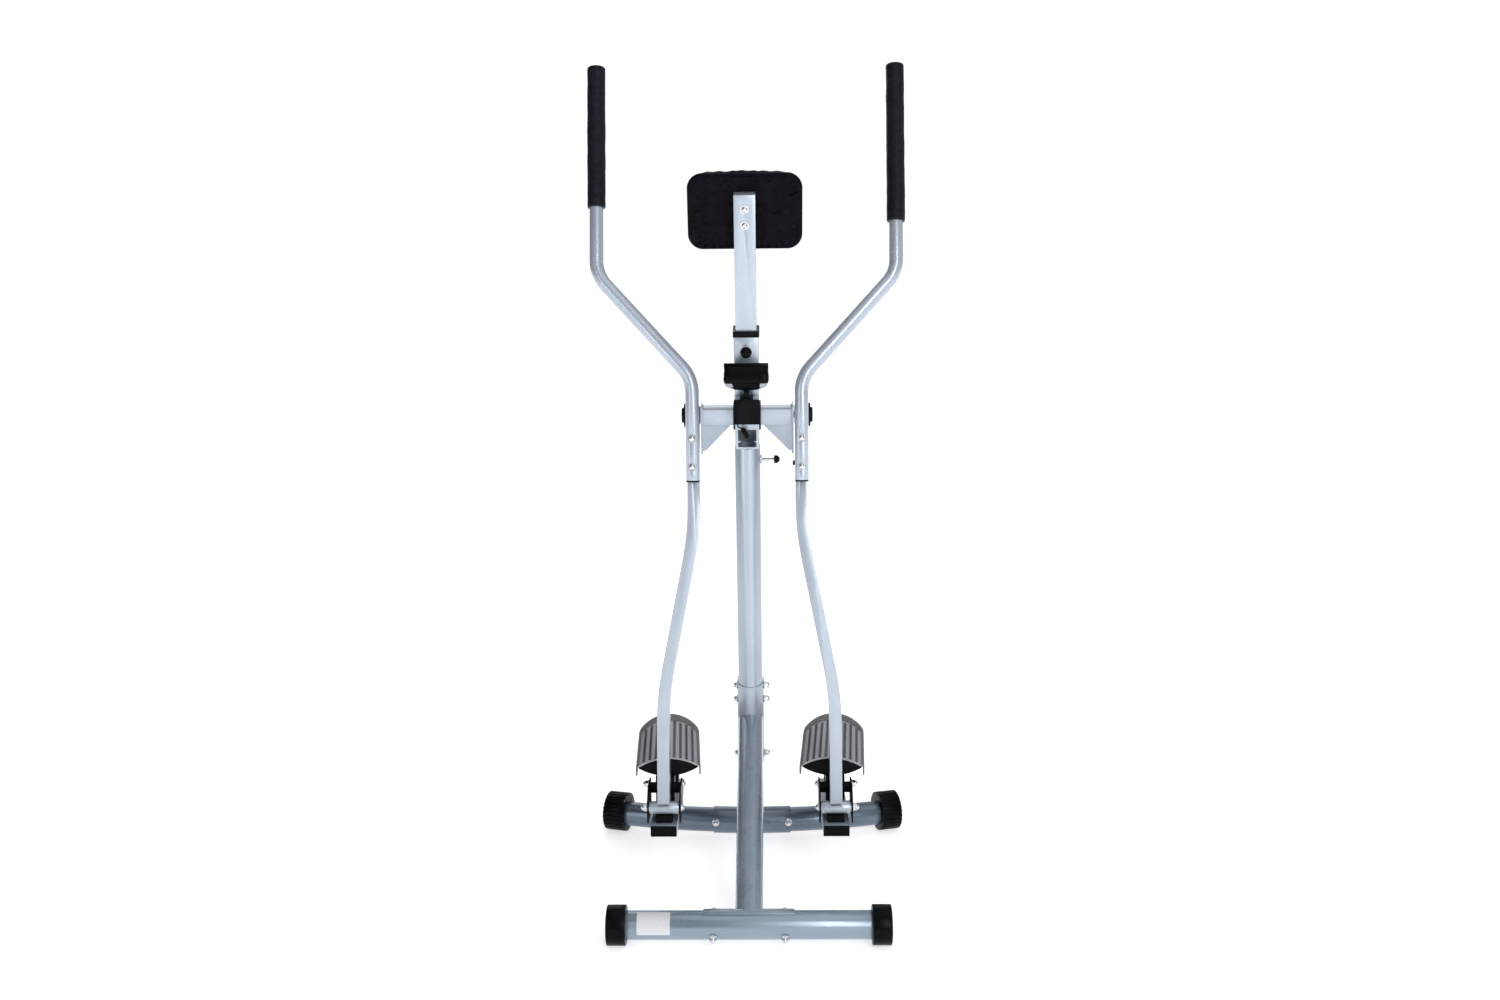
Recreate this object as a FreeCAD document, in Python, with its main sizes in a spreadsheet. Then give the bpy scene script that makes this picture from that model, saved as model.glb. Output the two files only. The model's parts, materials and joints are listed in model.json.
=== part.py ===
import FreeCAD, Part
import Sketcher

import math
import os

Vector = FreeCAD.Vector
Placement = FreeCAD.Placement
Rotation = FreeCAD.Rotation

X_AXIS = Vector(1, 0, 0)
Y_AXIS = Vector(0, 1, 0)
Z_AXIS = Vector(0, 0, 1)
SIDES = {"left": -1, "right": 1}

# Free-swinging air walker. +Z is up, the user stands at +Y and faces -Y, and the origin lies on the
# floor under the middle of the machine. Millimetres.
DIMENSIONS = [
    ("front_base_y", -265.2, "front base axis, Y"),
    ("base_diameter", 50, "base tubes and front leg, outside"),
    ("tube_wall", 1.6, "wall of the base tubes, leg, post and arm bars"),
    ("front_axis_height", 34.5, "front base axis above the floor"),
    ("front_half_length", 242, "half length of the front base tube"),
    ("front_cap_diameter", 70, "front end caps"),
    ("front_cap_length", 34, "front end caps, along the tube"),
    ("rear_cap_length", 42, "levelling caps, along the tube"),
    ("cap_end_wall", 8, "closed end of the end caps"),
    ("rear_base_y", 212.8, "rear base axis, Y, in the middle"),
    ("rear_axis_height", 36, "rear base axis above the floor"),
    ("rear_bow_radius", 943, "bow of the rear base"),
    ("rear_bow_half_angle", 15.75, "half angle of the bow, degrees"),
    ("rear_tail", 42, "straight ends of the rear base"),
    ("rear_cap_diameter", 80, "levelling caps, outside"),
    ("rear_cap_offset", 4, "eccentricity of the levelling caps"),
    ("cap_rib_count", 26, "ribs round a levelling cap"),
    ("saddle_thickness", 2.5, "saddle plates"),
    ("rear_bolt_spacing", 146, "bolts of the rear saddle, along X"),
    ("washer_gap", 0.05, "washer above a curved saddle"),
    ("rear_bolt_rise", 5, "bolts of the rear saddle above the base axis"),
    ("saddle_half_length", 80, "saddle plates, half length along X"),
    ("bolt_diameter", 8, "frame bolts"),
    ("bolt_hole_diameter", 8.6, "holes for the frame bolts"),
    ("washer_diameter", 15, "washers of the frame bolts"),
    ("washer_thickness", 1.4, "washers"),
    ("dome_radius", 5.8, "domed bolt heads and nuts"),
    ("nut_height", 5, "nuts, flat part"),
    ("mast_lean", 12.5, "lean of the mast toward -Y, degrees"),
    ("post_diameter", 48, "main post, outside"),
    ("post_top", 831, "top of the main post along the mast"),
    ("bracket_bottom", 148, "brace bracket, lower end along the mast"),
    ("bracket_top", 329, "brace bracket, upper end along the mast"),
    ("bracket_thickness", 2.9, "brace bracket wall"),
    ("brace_height", 250, "where the front leg's axis meets the mast axis, along the mast"),
    ("head_side", 45, "head tube and monitor stub, square outside"),
    ("head_wall", 2, "wall of the head tube and stub"),
    ("head_top", 1045, "top of the head tube along the mast"),
    ("crossbar_height", 891, "crossbar axis along the mast"),
    ("crossbar_side", 30, "crossbar, square outside"),
    ("crossbar_wall", 1.5, "crossbar wall"),
    ("crossbar_half_length", 83, "half length of the crossbar tube"),
    ("end_plate_thickness", 3, "plates at the crossbar's ends"),
    ("end_plate_width", 40, "plates at the crossbar's ends, fore and aft"),
    ("end_plate_drop", 70, "end plates, below the crossbar axis"),
    ("axle_diameter", 12, "pivot axle"),
    ("axle_half_length", 118.6, "pivot axle, half length"),
    ("bearing_clearance", 0.05, "radial running clearance of the pivots"),
    ("arm_lean", 5.7, "lean of the hanging arms toward -Y at the foot, degrees"),
    ("arm_x", 100.5, "arm plane at the pivot, X"),
    ("foot_x", 162.5, "arm plane at the pedal, X"),
    ("arm_width", 22.5, "arm bar across, X"),
    ("arm_depth", 38, "arm bar fore and aft"),
    ("hub_diameter", 38, "pivot hub"),
    ("hub_length", 22.5, "pivot hub along X"),
    ("bush_diameter", 24, "pivot bushings, outside"),
    ("bush_flange_diameter", 33, "pivot bushings, flange"),
    ("bush_flange", 1.5, "pivot bushings, flange thickness"),
    ("pivot_cap_diameter", 44, "pivot cap discs"),
    ("handle_diameter", 25.4, "handlebar tube"),
    ("handle_wall", 1.5, "handlebar wall"),
    ("handle_bend", 70, "handlebar bend radius"),
    ("handle_bottom", -120, "handlebar lower end, below the pivot along the arm"),
    ("handle_top", 648, "handlebar upper end, along the arm"),
    ("grip_diameter", 35, "foam grips"),
    ("left_grip_length", 272, "left foam grip"),
    ("right_grip_length", 303, "right foam grip"),
    ("sleeve_diameter", 24, "pedal sleeve at the arm's foot"),
    ("sleeve_length", 56, "pedal sleeve along X"),
    ("sleeve_drop", 741, "pedal sleeve axis below the pivot along the arm"),
    ("hinge_bolt_diameter", 10, "pedal hinge bolt"),
    ("pedal_width", 124, "pedal across"),
    ("pedal_length", 270, "pedal fore and aft"),
    ("pedal_start", 39, "pedal front edge behind the hinge"),
    ("pedal_crown", 86, "crown of the tread above the hinge"),
    ("pedal_edge_drop", 19, "fall of the tread from crown to edge"),
    ("pedal_skirt", 16, "skirt below the tread's edge"),
    ("tread_thickness", 3.5, "tread shell"),
    ("pedal_toe_out", 3.5, "pedals turned outward at their far end, degrees"),
    ("pedal_inset", 6, "tread centre nearer the post than its arm"),
    ("hull_radius", 108, "underside of the tray, radius across"),
    ("pedal_tube_width", 49, "pedal support tube across"),
    ("pedal_tube_height", 21, "pedal support tube height"),
    ("pedal_tube_length", 250, "pedal support tube length"),
    ("pad_width", 208, "chest pad across"),
    ("pad_height", 138, "chest pad height"),
    ("pad_thickness", 46, "chest pad cushion"),
    ("pad_corner", 24, "chest pad corner radius"),
    ("pad_centre", 1264, "chest pad middle along the mast"),
    ("board_thickness", 8, "pad board"),
    ("pad_post_side", 38, "pad post, square outside"),
    ("pad_post_bottom", 960, "pad post lower end along the mast"),
    ("pad_post_top", 1299, "pad post upper end along the mast"),
    ("knob_height", 1025, "height knob along the mast"),
    ("ball_diameter", 21, "ball of the height knob"),
    ("stub_height", 914, "monitor stub axis along the mast"),
    ("stub_length", 30, "monitor stub, from the head tube"),
    ("monitor_width", 82, "monitor across"),
    ("lock_height", 803, "lock pin along the mast"),
    ("lead_diameter", 2.6, "sensor lead"),
]

doc = FreeCAD.newDocument("air_walker")
sheet = doc.addObject("Spreadsheet::Sheet", "dims")
for row, (alias, value, note) in enumerate(DIMENSIONS, start=1):
    sheet.set("A%d" % row, note)
    sheet.set("B%d" % row, str(value))
    sheet.setAlias("B%d" % row, alias)
doc.recompute()

nodes = []


def size(alias):
    """Value of one driving dimension."""
    return float(getattr(sheet, alias))


def solid(kind, placement, **sizes):
    """A Part primitive whose sizes follow the sheet."""
    piece = doc.addObject("Part::" + kind, kind)
    for prop, expression in sizes.items():
        piece.setExpression(prop, str(expression))
    piece.Placement = placement
    return piece


def block(placement, across, deep, high):
    """A box centred in x and y on its placement, standing on z = 0."""
    piece = solid("Box", placement, Length=across, Width=deep, Height=high)
    doc.recompute([piece])
    shift = Vector(-piece.Length.Value / 2, -piece.Width.Value / 2, 0)
    piece.Placement = placement.multiply(Placement(shift, Rotation()))
    return piece


def rod(placement, radius, length):
    """A cylinder standing on its placement, along local z."""
    return solid("Cylinder", placement, Radius=radius, Height=length)


def fuse(*pieces):
    piece = doc.addObject("Part::MultiFuse", "Fuse")
    piece.Shapes = list(pieces)
    return piece


def cut(base, *tools):
    piece = doc.addObject("Part::Cut", "Cut")
    piece.Base = base
    piece.Tool = tools[0] if len(tools) == 1 else fuse(*tools)
    return piece


def common(first, second):
    piece = doc.addObject("Part::Common", "Common")
    piece.Base = first
    piece.Tool = second
    return piece


def group(*pieces):
    """Several separate solids in one node."""
    piece = doc.addObject("Part::Compound", "Group")
    piece.Links = list(pieces)
    return piece


def feature(shape):
    """A shape made by Part's own functions."""
    piece = doc.addObject("Part::Feature", "Feature")
    piece.Shape = shape
    return piece


def node(label, piece):
    """Names a finished sub-part; its label names its file."""
    piece.Label = label
    nodes.append(piece)
    return piece


def toward(origin, direction):
    """A placement at origin whose local z points along direction."""
    return Placement(origin, Rotation(Z_AXIS, direction))


def local(frame, x, y, z, direction=None):
    """A placement at (x, y, z) in frame, its z along direction where one is given."""
    turn = Rotation(Z_AXIS, direction) if direction else Rotation()
    return frame.multiply(Placement(Vector(x, y, z), turn))


def tube(placement, outside, wall, length):
    """A round tube open at both ends."""
    return cut(rod(placement, "%s / 2" % outside, length),
               rod(placement, "%s / 2 - %s" % (outside, wall), length))


def square_tube(placement, side, wall, length):
    """A square tube open at both ends."""
    return cut(block(placement, side, side, length),
               block(placement, "%s - 2 * %s" % (side, wall), "%s - 2 * %s" % (side, wall), length))


def reading(expression):
    """What an expression on the sheet comes to."""
    probe = doc.addObject("Part::Vertex", "Probe")
    probe.setExpression("X", expression)
    doc.recompute([probe])
    value = probe.X.Value
    doc.removeObject(probe.Name)
    return value


def plate(placement, outline, thickness):
    """A flat plate: a padded sketch of a closed outline whose corners are sheet expressions."""
    body = doc.addObject("PartDesign::Body", "Body")
    sketch = body.newObject("Sketcher::SketchObject", "Outline")
    planes = [item for item in body.Origin.OriginFeatures if item.Role == "XY_Plane"]
    sketch.AttachmentSupport = [(planes[0], "")]
    sketch.MapMode = "FlatFace"
    corners = [tuple(reading(part) for part in corner) for corner in outline]
    count = len(corners)
    for index in range(count):
        start = Vector(corners[index][0], corners[index][1], 0)
        end = Vector(corners[(index + 1) % count][0], corners[(index + 1) % count][1], 0)
        sketch.addGeometry(Part.LineSegment(start, end), False)
    for index in range(count):
        constrain(sketch, "Coincident", index, 2, (index + 1) % count, 1)
    for index, corner in enumerate(outline):
        for kind, position, expression in (("DistanceX", 0, corner[0]), ("DistanceY", 1, corner[1])):
            number = constrain(sketch, kind, -1, 1, index, 1, corners[index][position])
            sketch.renameConstraint(number, "%s%d" % (kind, index))
            sketch.setExpression("Constraints.%s%d" % (kind, index), expression)
    pad = body.newObject("PartDesign::Pad", "Pad")
    pad.Profile = sketch
    pad.setExpression("Length", thickness)
    body.Tip = pad
    body.Placement = placement
    return body


def constrain(sketch, *terms):
    """Adds one sketch constraint and returns its number."""
    return sketch.addConstraint(Sketcher.Constraint(*terms))


def rounded_path(points, radius):
    """Straight runs joined by tangent arcs of one radius."""
    edges = []
    start = points[0]
    for before, corner, after in zip(points, points[1:], points[2:]):
        inward = (corner - before).normalize()
        outward = (after - corner).normalize()
        turn = inward.getAngle(outward)
        reach = radius * math.tan(turn / 2)
        first = corner - inward * reach
        last = corner + outward * reach
        middle_way = (outward - inward).normalize()
        middle = corner + middle_way * (radius / math.cos(turn / 2) - radius)
        edges.append(Part.LineSegment(start, first).toShape())
        edges.append(Part.Arc(first, middle, last).toShape())
        start = last
    edges.append(Part.LineSegment(start, points[-1]).toShape())
    return Part.Wire(edges)


def sweep(path, profile):
    """A solid made by carrying a closed profile along a path."""
    return path.makePipeShell([profile], True, False)


def ring(path, radius):
    """A circle across the start of a path."""
    first = path.Edges[0]
    tangent = first.tangentAt(first.FirstParameter)
    return Part.Wire([Part.makeCircle(radius, first.valueAt(first.FirstParameter), tangent)])


def dome(placement):
    """A half ball standing on its placement."""
    return solid("Sphere", placement, Radius="dims.dome_radius", Angle1="0", Angle2="90")


def bolt(origin, direction, grip, head=True, diameter="dims.bolt_diameter"):
    """A washered bolt from origin along direction, its domed nut past the far side of the grip."""
    along = direction.normalize()
    washer = size("washer_thickness")
    near = toward(origin, along)
    back = toward(origin, -along)
    far = toward(origin + along * grip, along)
    parts = [rod(near, "%s / 2" % diameter, str(grip + washer)),
             rod(far, "dims.washer_diameter / 2", "dims.washer_thickness")]
    nut = local(far, 0, 0, washer)
    parts.append(solid("Prism", nut, Polygon="6", Circumradius="dims.dome_radius * 1.22",
                       Height="dims.nut_height"))
    parts.append(dome(local(nut, 0, 0, size("nut_height"))))
    if head:
        parts.append(rod(back, "dims.washer_diameter / 2", "dims.washer_thickness"))
        parts.append(dome(local(back, 0, 0, washer)))
    return fuse(*parts)


def hole(origin, direction, length, diameter="dims.bolt_hole_diameter"):
    """A drilling tool through a wall."""
    along = direction.normalize()
    return rod(toward(origin - along, along), "%s / 2" % diameter, str(length + 2))


# Frames of reference: the mast line rises from the rear base and leans toward -Y.
lean = size("mast_lean")
mast = Placement(Vector(0, size("rear_base_y"), size("rear_axis_height")), Rotation(X_AXIS, lean))
cross = mast.multVec(Vector(0, 0, size("crossbar_height")))
front_axis = Vector(0, size("front_base_y"), size("front_axis_height"))
brace = mast.multVec(Vector(0, 0, size("brace_height")))
leg_way = (brace - front_axis).normalize()
tube_radius = size("base_diameter") / 2
saddle_radius = tube_radius + size("saddle_thickness")


def build_front_base():
    """Straight base tube, its two caps, and the bolts that hold the leg's saddle."""
    half = size("front_half_length")
    start = Vector(-half, front_axis.y, front_axis.z)
    along_x = toward(start, X_AXIS)
    bolts = []
    holes = []
    for side in SIDES.values():
        origin = front_axis + Vector(side * 63, 0, 0) + leg_way * saddle_radius
        grip = saddle_radius + tube_radius
        bolts.append(bolt(origin, -leg_way, grip))
        holes.append(hole(origin, -leg_way, grip))
    pipe = tube(along_x, "dims.base_diameter", "dims.tube_wall", "2 * dims.front_half_length")
    node("front_base_tube", cut(pipe, *holes))
    caps = []
    for side in SIDES.values():
        mouth = front_axis + Vector(side * (half + size("cap_end_wall") - size("front_cap_length")), 0, 0)
        outer = rod(toward(mouth, X_AXIS * side), "dims.front_cap_diameter / 2", "dims.front_cap_length")
        bore = rod(toward(mouth, X_AXIS * side), "dims.base_diameter / 2",
                   "dims.front_cap_length - dims.cap_end_wall")
        floor = block(Placement(mouth - Vector(0, 0, front_axis.z + 20), Rotation()), "200", "120", "20")
        caps.append(cut(outer, bore, floor))
    node("front_end_caps", group(*caps))
    node("front_saddle_bolts", group(*bolts))
    return holes


def build_front_leg(holes):
    """Leg tube from the front base to the brace bracket, with the saddle welded to its foot."""
    base = toward(front_axis - X_AXIS * 300, X_AXIS)
    reach = (brace - front_axis).Length
    leg = tube(toward(front_axis, leg_way), "dims.base_diameter", "dims.tube_wall", str(reach))
    across = "2 * (dims.bracket_thickness + dims.post_diameter / 2)"
    keep_out = local(mast, 0, 0, 60)
    leg = cut(leg, rod(base, "dims.base_diameter / 2 + dims.saddle_thickness", "600"),
              rod(keep_out, across + " / 2 + 0.1", "500"),
              block(local(mast, 0, 27, 60), across, "54", "500"))
    half = size("saddle_half_length")
    shell_start = toward(front_axis - X_AXIS * half, X_AXIS)
    shell = cut(rod(shell_start, "dims.base_diameter / 2 + dims.saddle_thickness",
                    "2 * dims.saddle_half_length"),
                rod(shell_start, "dims.base_diameter / 2 + 0.05", "2 * dims.saddle_half_length"))
    cover = block(toward(front_axis + leg_way * 3, leg_way), "2 * dims.saddle_half_length",
                  "2 * dims.base_diameter", "60")
    saddle = cut(common(shell, cover), *holes)
    node("front_leg", fuse(saddle, leg))


def rear_arc(radius):
    """The bowed rear base as a solid bar: an arc with straight tails."""
    angle = size("rear_bow_half_angle")
    bow = size("rear_bow_radius")
    centre = Vector(0, size("rear_base_y") + bow, size("rear_axis_height"))
    arc = solid("Torus", Placement(centre, Rotation(Z_AXIS, -90 - angle)), Radius1="dims.rear_bow_radius",
                Radius2=radius, Angle1="-180", Angle2="180", Angle3="2 * dims.rear_bow_half_angle")
    tails = []
    for side in SIDES.values():
        tails.append(rod(toward(*rear_end(side, 0)), radius, "dims.rear_tail"))
    return fuse(arc, *tails)


def rear_end(side, distance):
    """A point on a straight tail of the rear base, and the outward direction there."""
    angle = math.radians(size("rear_bow_half_angle"))
    bow = size("rear_bow_radius")
    outward = Vector(side * math.cos(angle), math.sin(angle), 0)
    start = Vector(side * bow * math.sin(angle), size("rear_base_y") + bow * (1 - math.cos(angle)),
                   size("rear_axis_height"))
    return start + outward * distance, outward


def build_rear_base():
    """Bowed base tube, ribbed levelling caps and saddle bolts."""
    bolts = []
    holes = []
    for side in SIDES.values():
        bow = size("rear_bow_radius")
        angle = math.asin(size("rear_bolt_spacing") / 2 / bow)
        centre = Vector(0, size("rear_base_y") + bow, size("rear_axis_height") + size("rear_bolt_rise"))
        way = Vector(side * math.sin(angle), -math.cos(angle), 0)
        origin = centre + way * (bow - saddle_radius - size("washer_gap"))
        grip = 2 * (saddle_radius + size("washer_gap"))
        bolts.append(bolt(origin, way, grip))
        holes.append(hole(origin, way, grip))
    pipe = cut(rear_arc("dims.base_diameter / 2"), rear_arc("dims.base_diameter / 2 - dims.tube_wall"))
    node("rear_base_tube", cut(pipe, *holes))
    node("rear_saddle_bolts", group(*bolts))
    for name, side in SIDES.items():
        mouth, outward = rear_end(side, size("rear_tail") + size("cap_end_wall") - size("rear_cap_length"))
        lift = Vector(0, 0, size("rear_cap_offset"))
        body = rod(toward(mouth + lift, outward), "dims.rear_cap_diameter / 2", "dims.rear_cap_length")
        grooves = []
        for index in range(int(size("cap_rib_count"))):
            angle = 2 * math.pi * index / size("cap_rib_count")
            radial = Vector(0, 0, 1) * math.cos(angle) + outward.cross(Z_AXIS) * math.sin(angle)
            centre = mouth + lift + radial * (size("rear_cap_diameter") / 2 + 0.6) - outward
            if index != size("cap_rib_count") / 2:
                grooves.append(rod(toward(centre, outward), "2.1", "dims.rear_cap_length + 2"))
        bore = rod(toward(mouth - outward, outward), "dims.base_diameter / 2 + dims.bearing_clearance",
                   "dims.rear_cap_length - dims.cap_end_wall + 1.5")
        node("rear_cap_" + name, cut(body, bore, *grooves))
    return holes


def build_main_post(holes):
    """Post with the saddle welded to its foot and the boss for the lock pin."""
    post = tube(mast, "dims.post_diameter", "dims.tube_wall", "dims.post_top")
    post = cut(post, rear_arc("dims.base_diameter / 2 + dims.saddle_thickness"))
    shell = cut(rear_arc("dims.base_diameter / 2 + dims.saddle_thickness"),
                rear_arc("dims.base_diameter / 2 + 0.05"))
    cover = block(Placement(Vector(0, size("rear_base_y"), size("rear_axis_height") - 5), Rotation()),
                  "2 * dims.saddle_half_length", "120", "60")
    front = block(Placement(Vector(0, size("rear_base_y") - 31, size("rear_axis_height") - 24), Rotation()),
                  "2 * dims.saddle_half_length", "60", "60")
    saddle = cut(common(shell, fuse(cover, front)), *holes)
    side_way = local(mast, size("post_diameter") / 2 - 1, 0, size("lock_height"), X_AXIS)
    boss = rod(side_way, "8", "3.5")
    bore = rod(local(side_way, 0, 0, -4), "3.1", "12")
    braces = [hole(mast.multVec(Vector(-30, 0, at)), X_AXIS, 60) for at in brace_bolt_heights()]
    node("main_post", cut(fuse(post, saddle, boss), bore, *braces))


def brace_bolt_heights():
    """Where the brace bracket is bolted through the post, along the mast."""
    return [size("bracket_top") - 8, size("bracket_top") - 39, size("bracket_bottom") + 16]


def build_brace():
    """U bracket that clasps the post, and its three cross bolts."""
    wall = size("bracket_thickness")
    outer = size("post_diameter") / 2 + wall
    length = "dims.bracket_top - dims.bracket_bottom"
    foot = local(mast, 0, 0, size("bracket_bottom"))
    shell = fuse(rod(foot, "dims.post_diameter / 2 + dims.bracket_thickness", length),
                 block(local(foot, 0, 11, 0), str(2 * outer), "22", length))
    room = fuse(rod(local(foot, 0, 0, -1), "dims.post_diameter / 2 + 0.05", length + " + 2"),
                block(local(foot, 0, 20, -1), str(size("post_diameter") + 0.1), "40", length + " + 2"))
    holes = []
    bolts = []
    for at in brace_bolt_heights():
        origin = mast.multVec(Vector(-outer, 0, at))
        holes.append(hole(origin, X_AXIS, 2 * outer))
        bolts.append(bolt(origin, X_AXIS, 2 * outer))
    node("brace_bracket", cut(shell, room, *holes))
    node("brace_bolts", group(*bolts))


def crossbar_frame():
    """Local frame at the middle of the crossbar, z along the mast."""
    return local(mast, 0, 0, size("crossbar_height"))


def build_head():
    """Head tube with its front window, the crossbar through it, the axle and the collars."""
    side = size("head_side")
    foot = local(mast, 0, 0, size("post_top"))
    head = square_tube(foot, "dims.head_side", "dims.head_wall", "dims.head_top - dims.post_top")
    window = block(local(foot, 0, -side / 2, 4), "34", "12", "34")
    bar_room = block(local(crossbar_frame(), -60, 0, 0, X_AXIS), "dims.crossbar_side",
                     "dims.crossbar_side", "120")
    knob_at = local(mast, 0, -side / 2 + 1, size("knob_height"), -Y_AXIS)
    boss = rod(knob_at, "7", "9")
    bore = rod(local(knob_at, 0, 0, -4), "3.1", "16")
    node("head_tube", cut(fuse(head, boss), window, bar_room, bore))
    half = size("crossbar_half_length")
    start = local(crossbar_frame(), -half, 0, 0, X_AXIS)
    bar = square_tube(start, "dims.crossbar_side", "dims.crossbar_wall", "2 * dims.crossbar_half_length")
    parts = [bar]
    drop = size("end_plate_drop")
    for way in SIDES.values():
        plate_at = local(crossbar_frame(), way * (half + size("end_plate_thickness") / 2), 0, -drop)
        parts.append(block(plate_at, "dims.end_plate_thickness", "dims.end_plate_width",
                           "dims.end_plate_drop + 21"))
        outline = [("dims.crossbar_half_length", "-15"), ("dims.crossbar_half_length - 54", "-15"),
                   ("dims.crossbar_half_length - 5", "3 - dims.end_plate_drop"),
                   ("dims.crossbar_half_length", "3 - dims.end_plate_drop")]
        upright = crossbar_frame().multiply(Placement(Vector(0, -7, 0), Rotation(X_AXIS, 90)))
        if way < 0:
            upright = upright.multiply(Placement(Vector(0, 0, 3), Rotation(Y_AXIS, 180)))
        parts.append(plate(upright, outline, "dims.end_plate_thickness"))
    axle_hole = rod(local(crossbar_frame(), -100, 0, 0, X_AXIS), "dims.axle_diameter / 2 + 0.05", "200")
    node("crossbar", cut(fuse(*parts), axle_hole))
    reach = size("axle_half_length")
    node("axle", rod(local(crossbar_frame(), -reach, 0, 0, X_AXIS), "dims.axle_diameter / 2",
                     "2 * dims.axle_half_length"))
    nuts = []
    collars = []
    for way in SIDES.values():
        at = local(crossbar_frame(), way * (reach - 5.2), 0, 0, X_AXIS * way)
        nuts.append(cut(solid("Prism", at, Polygon="6", Circumradius="10.4", Height="dims.nut_height"),
                        rod(local(at, 0, 0, -1), "dims.axle_diameter / 2", "8")))
        near = local(crossbar_frame(), way * (side / 2 + 0.05), 0, 0, X_AXIS * way)
        collars.append(cut(block(near, "44", "44", "3"), block(local(near, 0, 0, -1), "30.1", "30.1", "5")))
    node("axle_nuts", group(*nuts))
    node("crossbar_collars", group(*collars))
    mouth = local(mast, 0, 0, size("head_top"))
    rim = block(local(mouth, 0, 0, 0.05), "dims.head_side + 3", "dims.head_side + 3", "11")
    room = block(local(mouth, 0, 0, -2), "dims.pad_post_side + 0.8", "dims.pad_post_side + 0.8", "20")
    node("collar_bushing", cut(rim, room))


def build_stub():
    """Short square tube that carries the monitor, its end plug and the monitor's foot."""
    front = -size("head_side") / 2
    start = local(mast, 0, front, size("stub_height"), -Y_AXIS)
    node("monitor_stub", square_tube(start, "dims.head_side", "dims.head_wall", "dims.stub_length"))
    end = local(start, 0, 0, size("stub_length"))
    node("stub_plug", fuse(block(local(end, 0, 0, 0.05), "dims.head_side + 2", "dims.head_side + 2", "4"),
                           block(local(end, 0, 0, -14), "dims.head_side - 2 * dims.head_wall - 0.4",
                                 "dims.head_side - 2 * dims.head_wall - 0.4", "14.1")))
    top = monitor_frame()
    foot = block(local(top, 0, 0, -10.9), "24", "22", "3")
    neck = block(local(top, 0, 0, -8), "10", "14", "8")
    eye = rod(local(top, -5, 0, 0, X_AXIS), "7", "10")
    bore = rod(local(top, -6, 0, 0, X_AXIS), "3.05", "12")
    node("monitor_bracket", cut(fuse(foot, neck, eye), bore))


def monitor_frame():
    """Local frame at the monitor's tilt axis."""
    rise = size("head_side") / 2 + 11
    return local(mast, 0, -size("head_side") / 2 - 17, size("stub_height") + rise)


def build_monitor():
    """Monitor housing with its tilt ears, bezel, lens and button; the screen faces up and back."""
    top = monitor_frame()
    side_view = [("-17", "9"), ("-35", "22"), ("-35", "38"), ("-20", "56"), ("14", "28"), ("14", "12"),
                 ("10", "9")]
    half = "dims.monitor_width / 2"
    upright = top.multiply(Placement(Vector(-size("monitor_width") / 2, 0, 0), Rotation(Vector(1, 1, 1), 120)))
    shell = plate(upright, side_view, "dims.monitor_width")
    ears = []
    for way in SIDES.values():
        ears.append(block(local(top, way * 7.6, 0, -5), "4", "12", "15"))
    pin = rod(local(top, -9.6, 0, 0, X_AXIS), "3", "19.2")
    node("monitor_housing", fuse(shell, pin, *ears))
    screen = screen_frame()
    frame = block(screen, "dims.monitor_width - 2", "42", "5")
    window = block(local(screen, 0, 4, 2), "60", "26", "6")
    well = rod(local(screen, 24, -15, 1.5), "4.1", "8")
    node("monitor_bezel", cut(frame, window, well))
    node("monitor_lens", block(local(screen, 0, 4, 2.05), "59.6", "25.6", "1.6"))
    node("monitor_button", rod(local(screen, 24, -15, 3.2), "3.7", "3.2"))


def screen_frame():
    """Local frame on the monitor's screen side, z out of the screen."""
    low = Vector(0, 14, 28)
    high = Vector(0, -20, 56)
    middle = (low + high) * 0.5
    outward = Vector(0, high.z - low.z, low.y - high.y).normalize()
    turn = Rotation(X_AXIS, X_AXIS.cross(-outward) * -1, outward, "XZY")
    return monitor_frame().multiply(Placement(middle + outward * 0.05, turn))


def build_pins():
    """Height knob at the head tube and lock pin beside the main post."""
    front = -size("head_side") / 2
    tip = -size("pad_post_side") / 2 - 0.5
    at = local(mast, 0, tip, size("knob_height"), -Y_AXIS)
    reach = -front - 0 + 23 + tip
    ball = solid("Sphere", local(at, 0, 0, reach + 6), Radius="dims.ball_diameter / 2")
    node("height_knob", fuse(rod(at, "3", str(reach)), rod(local(at, 0, 0, reach - 12), "5", "8"), ball))
    side_way = local(mast, size("post_diameter") / 2 - 1, 0, size("lock_height"), X_AXIS)
    shaft = rod(local(side_way, 0, 0, 0), "3", "30")
    grip = rod(local(side_way, 0, 0, 26.5), "7.6", "6.5")
    tip_dome = solid("Sphere", local(side_way, 0, 0, 30), Radius="7.6", Angle1="0", Angle2="90")
    node("lock_pin", fuse(shaft, grip, tip_dome))


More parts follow.
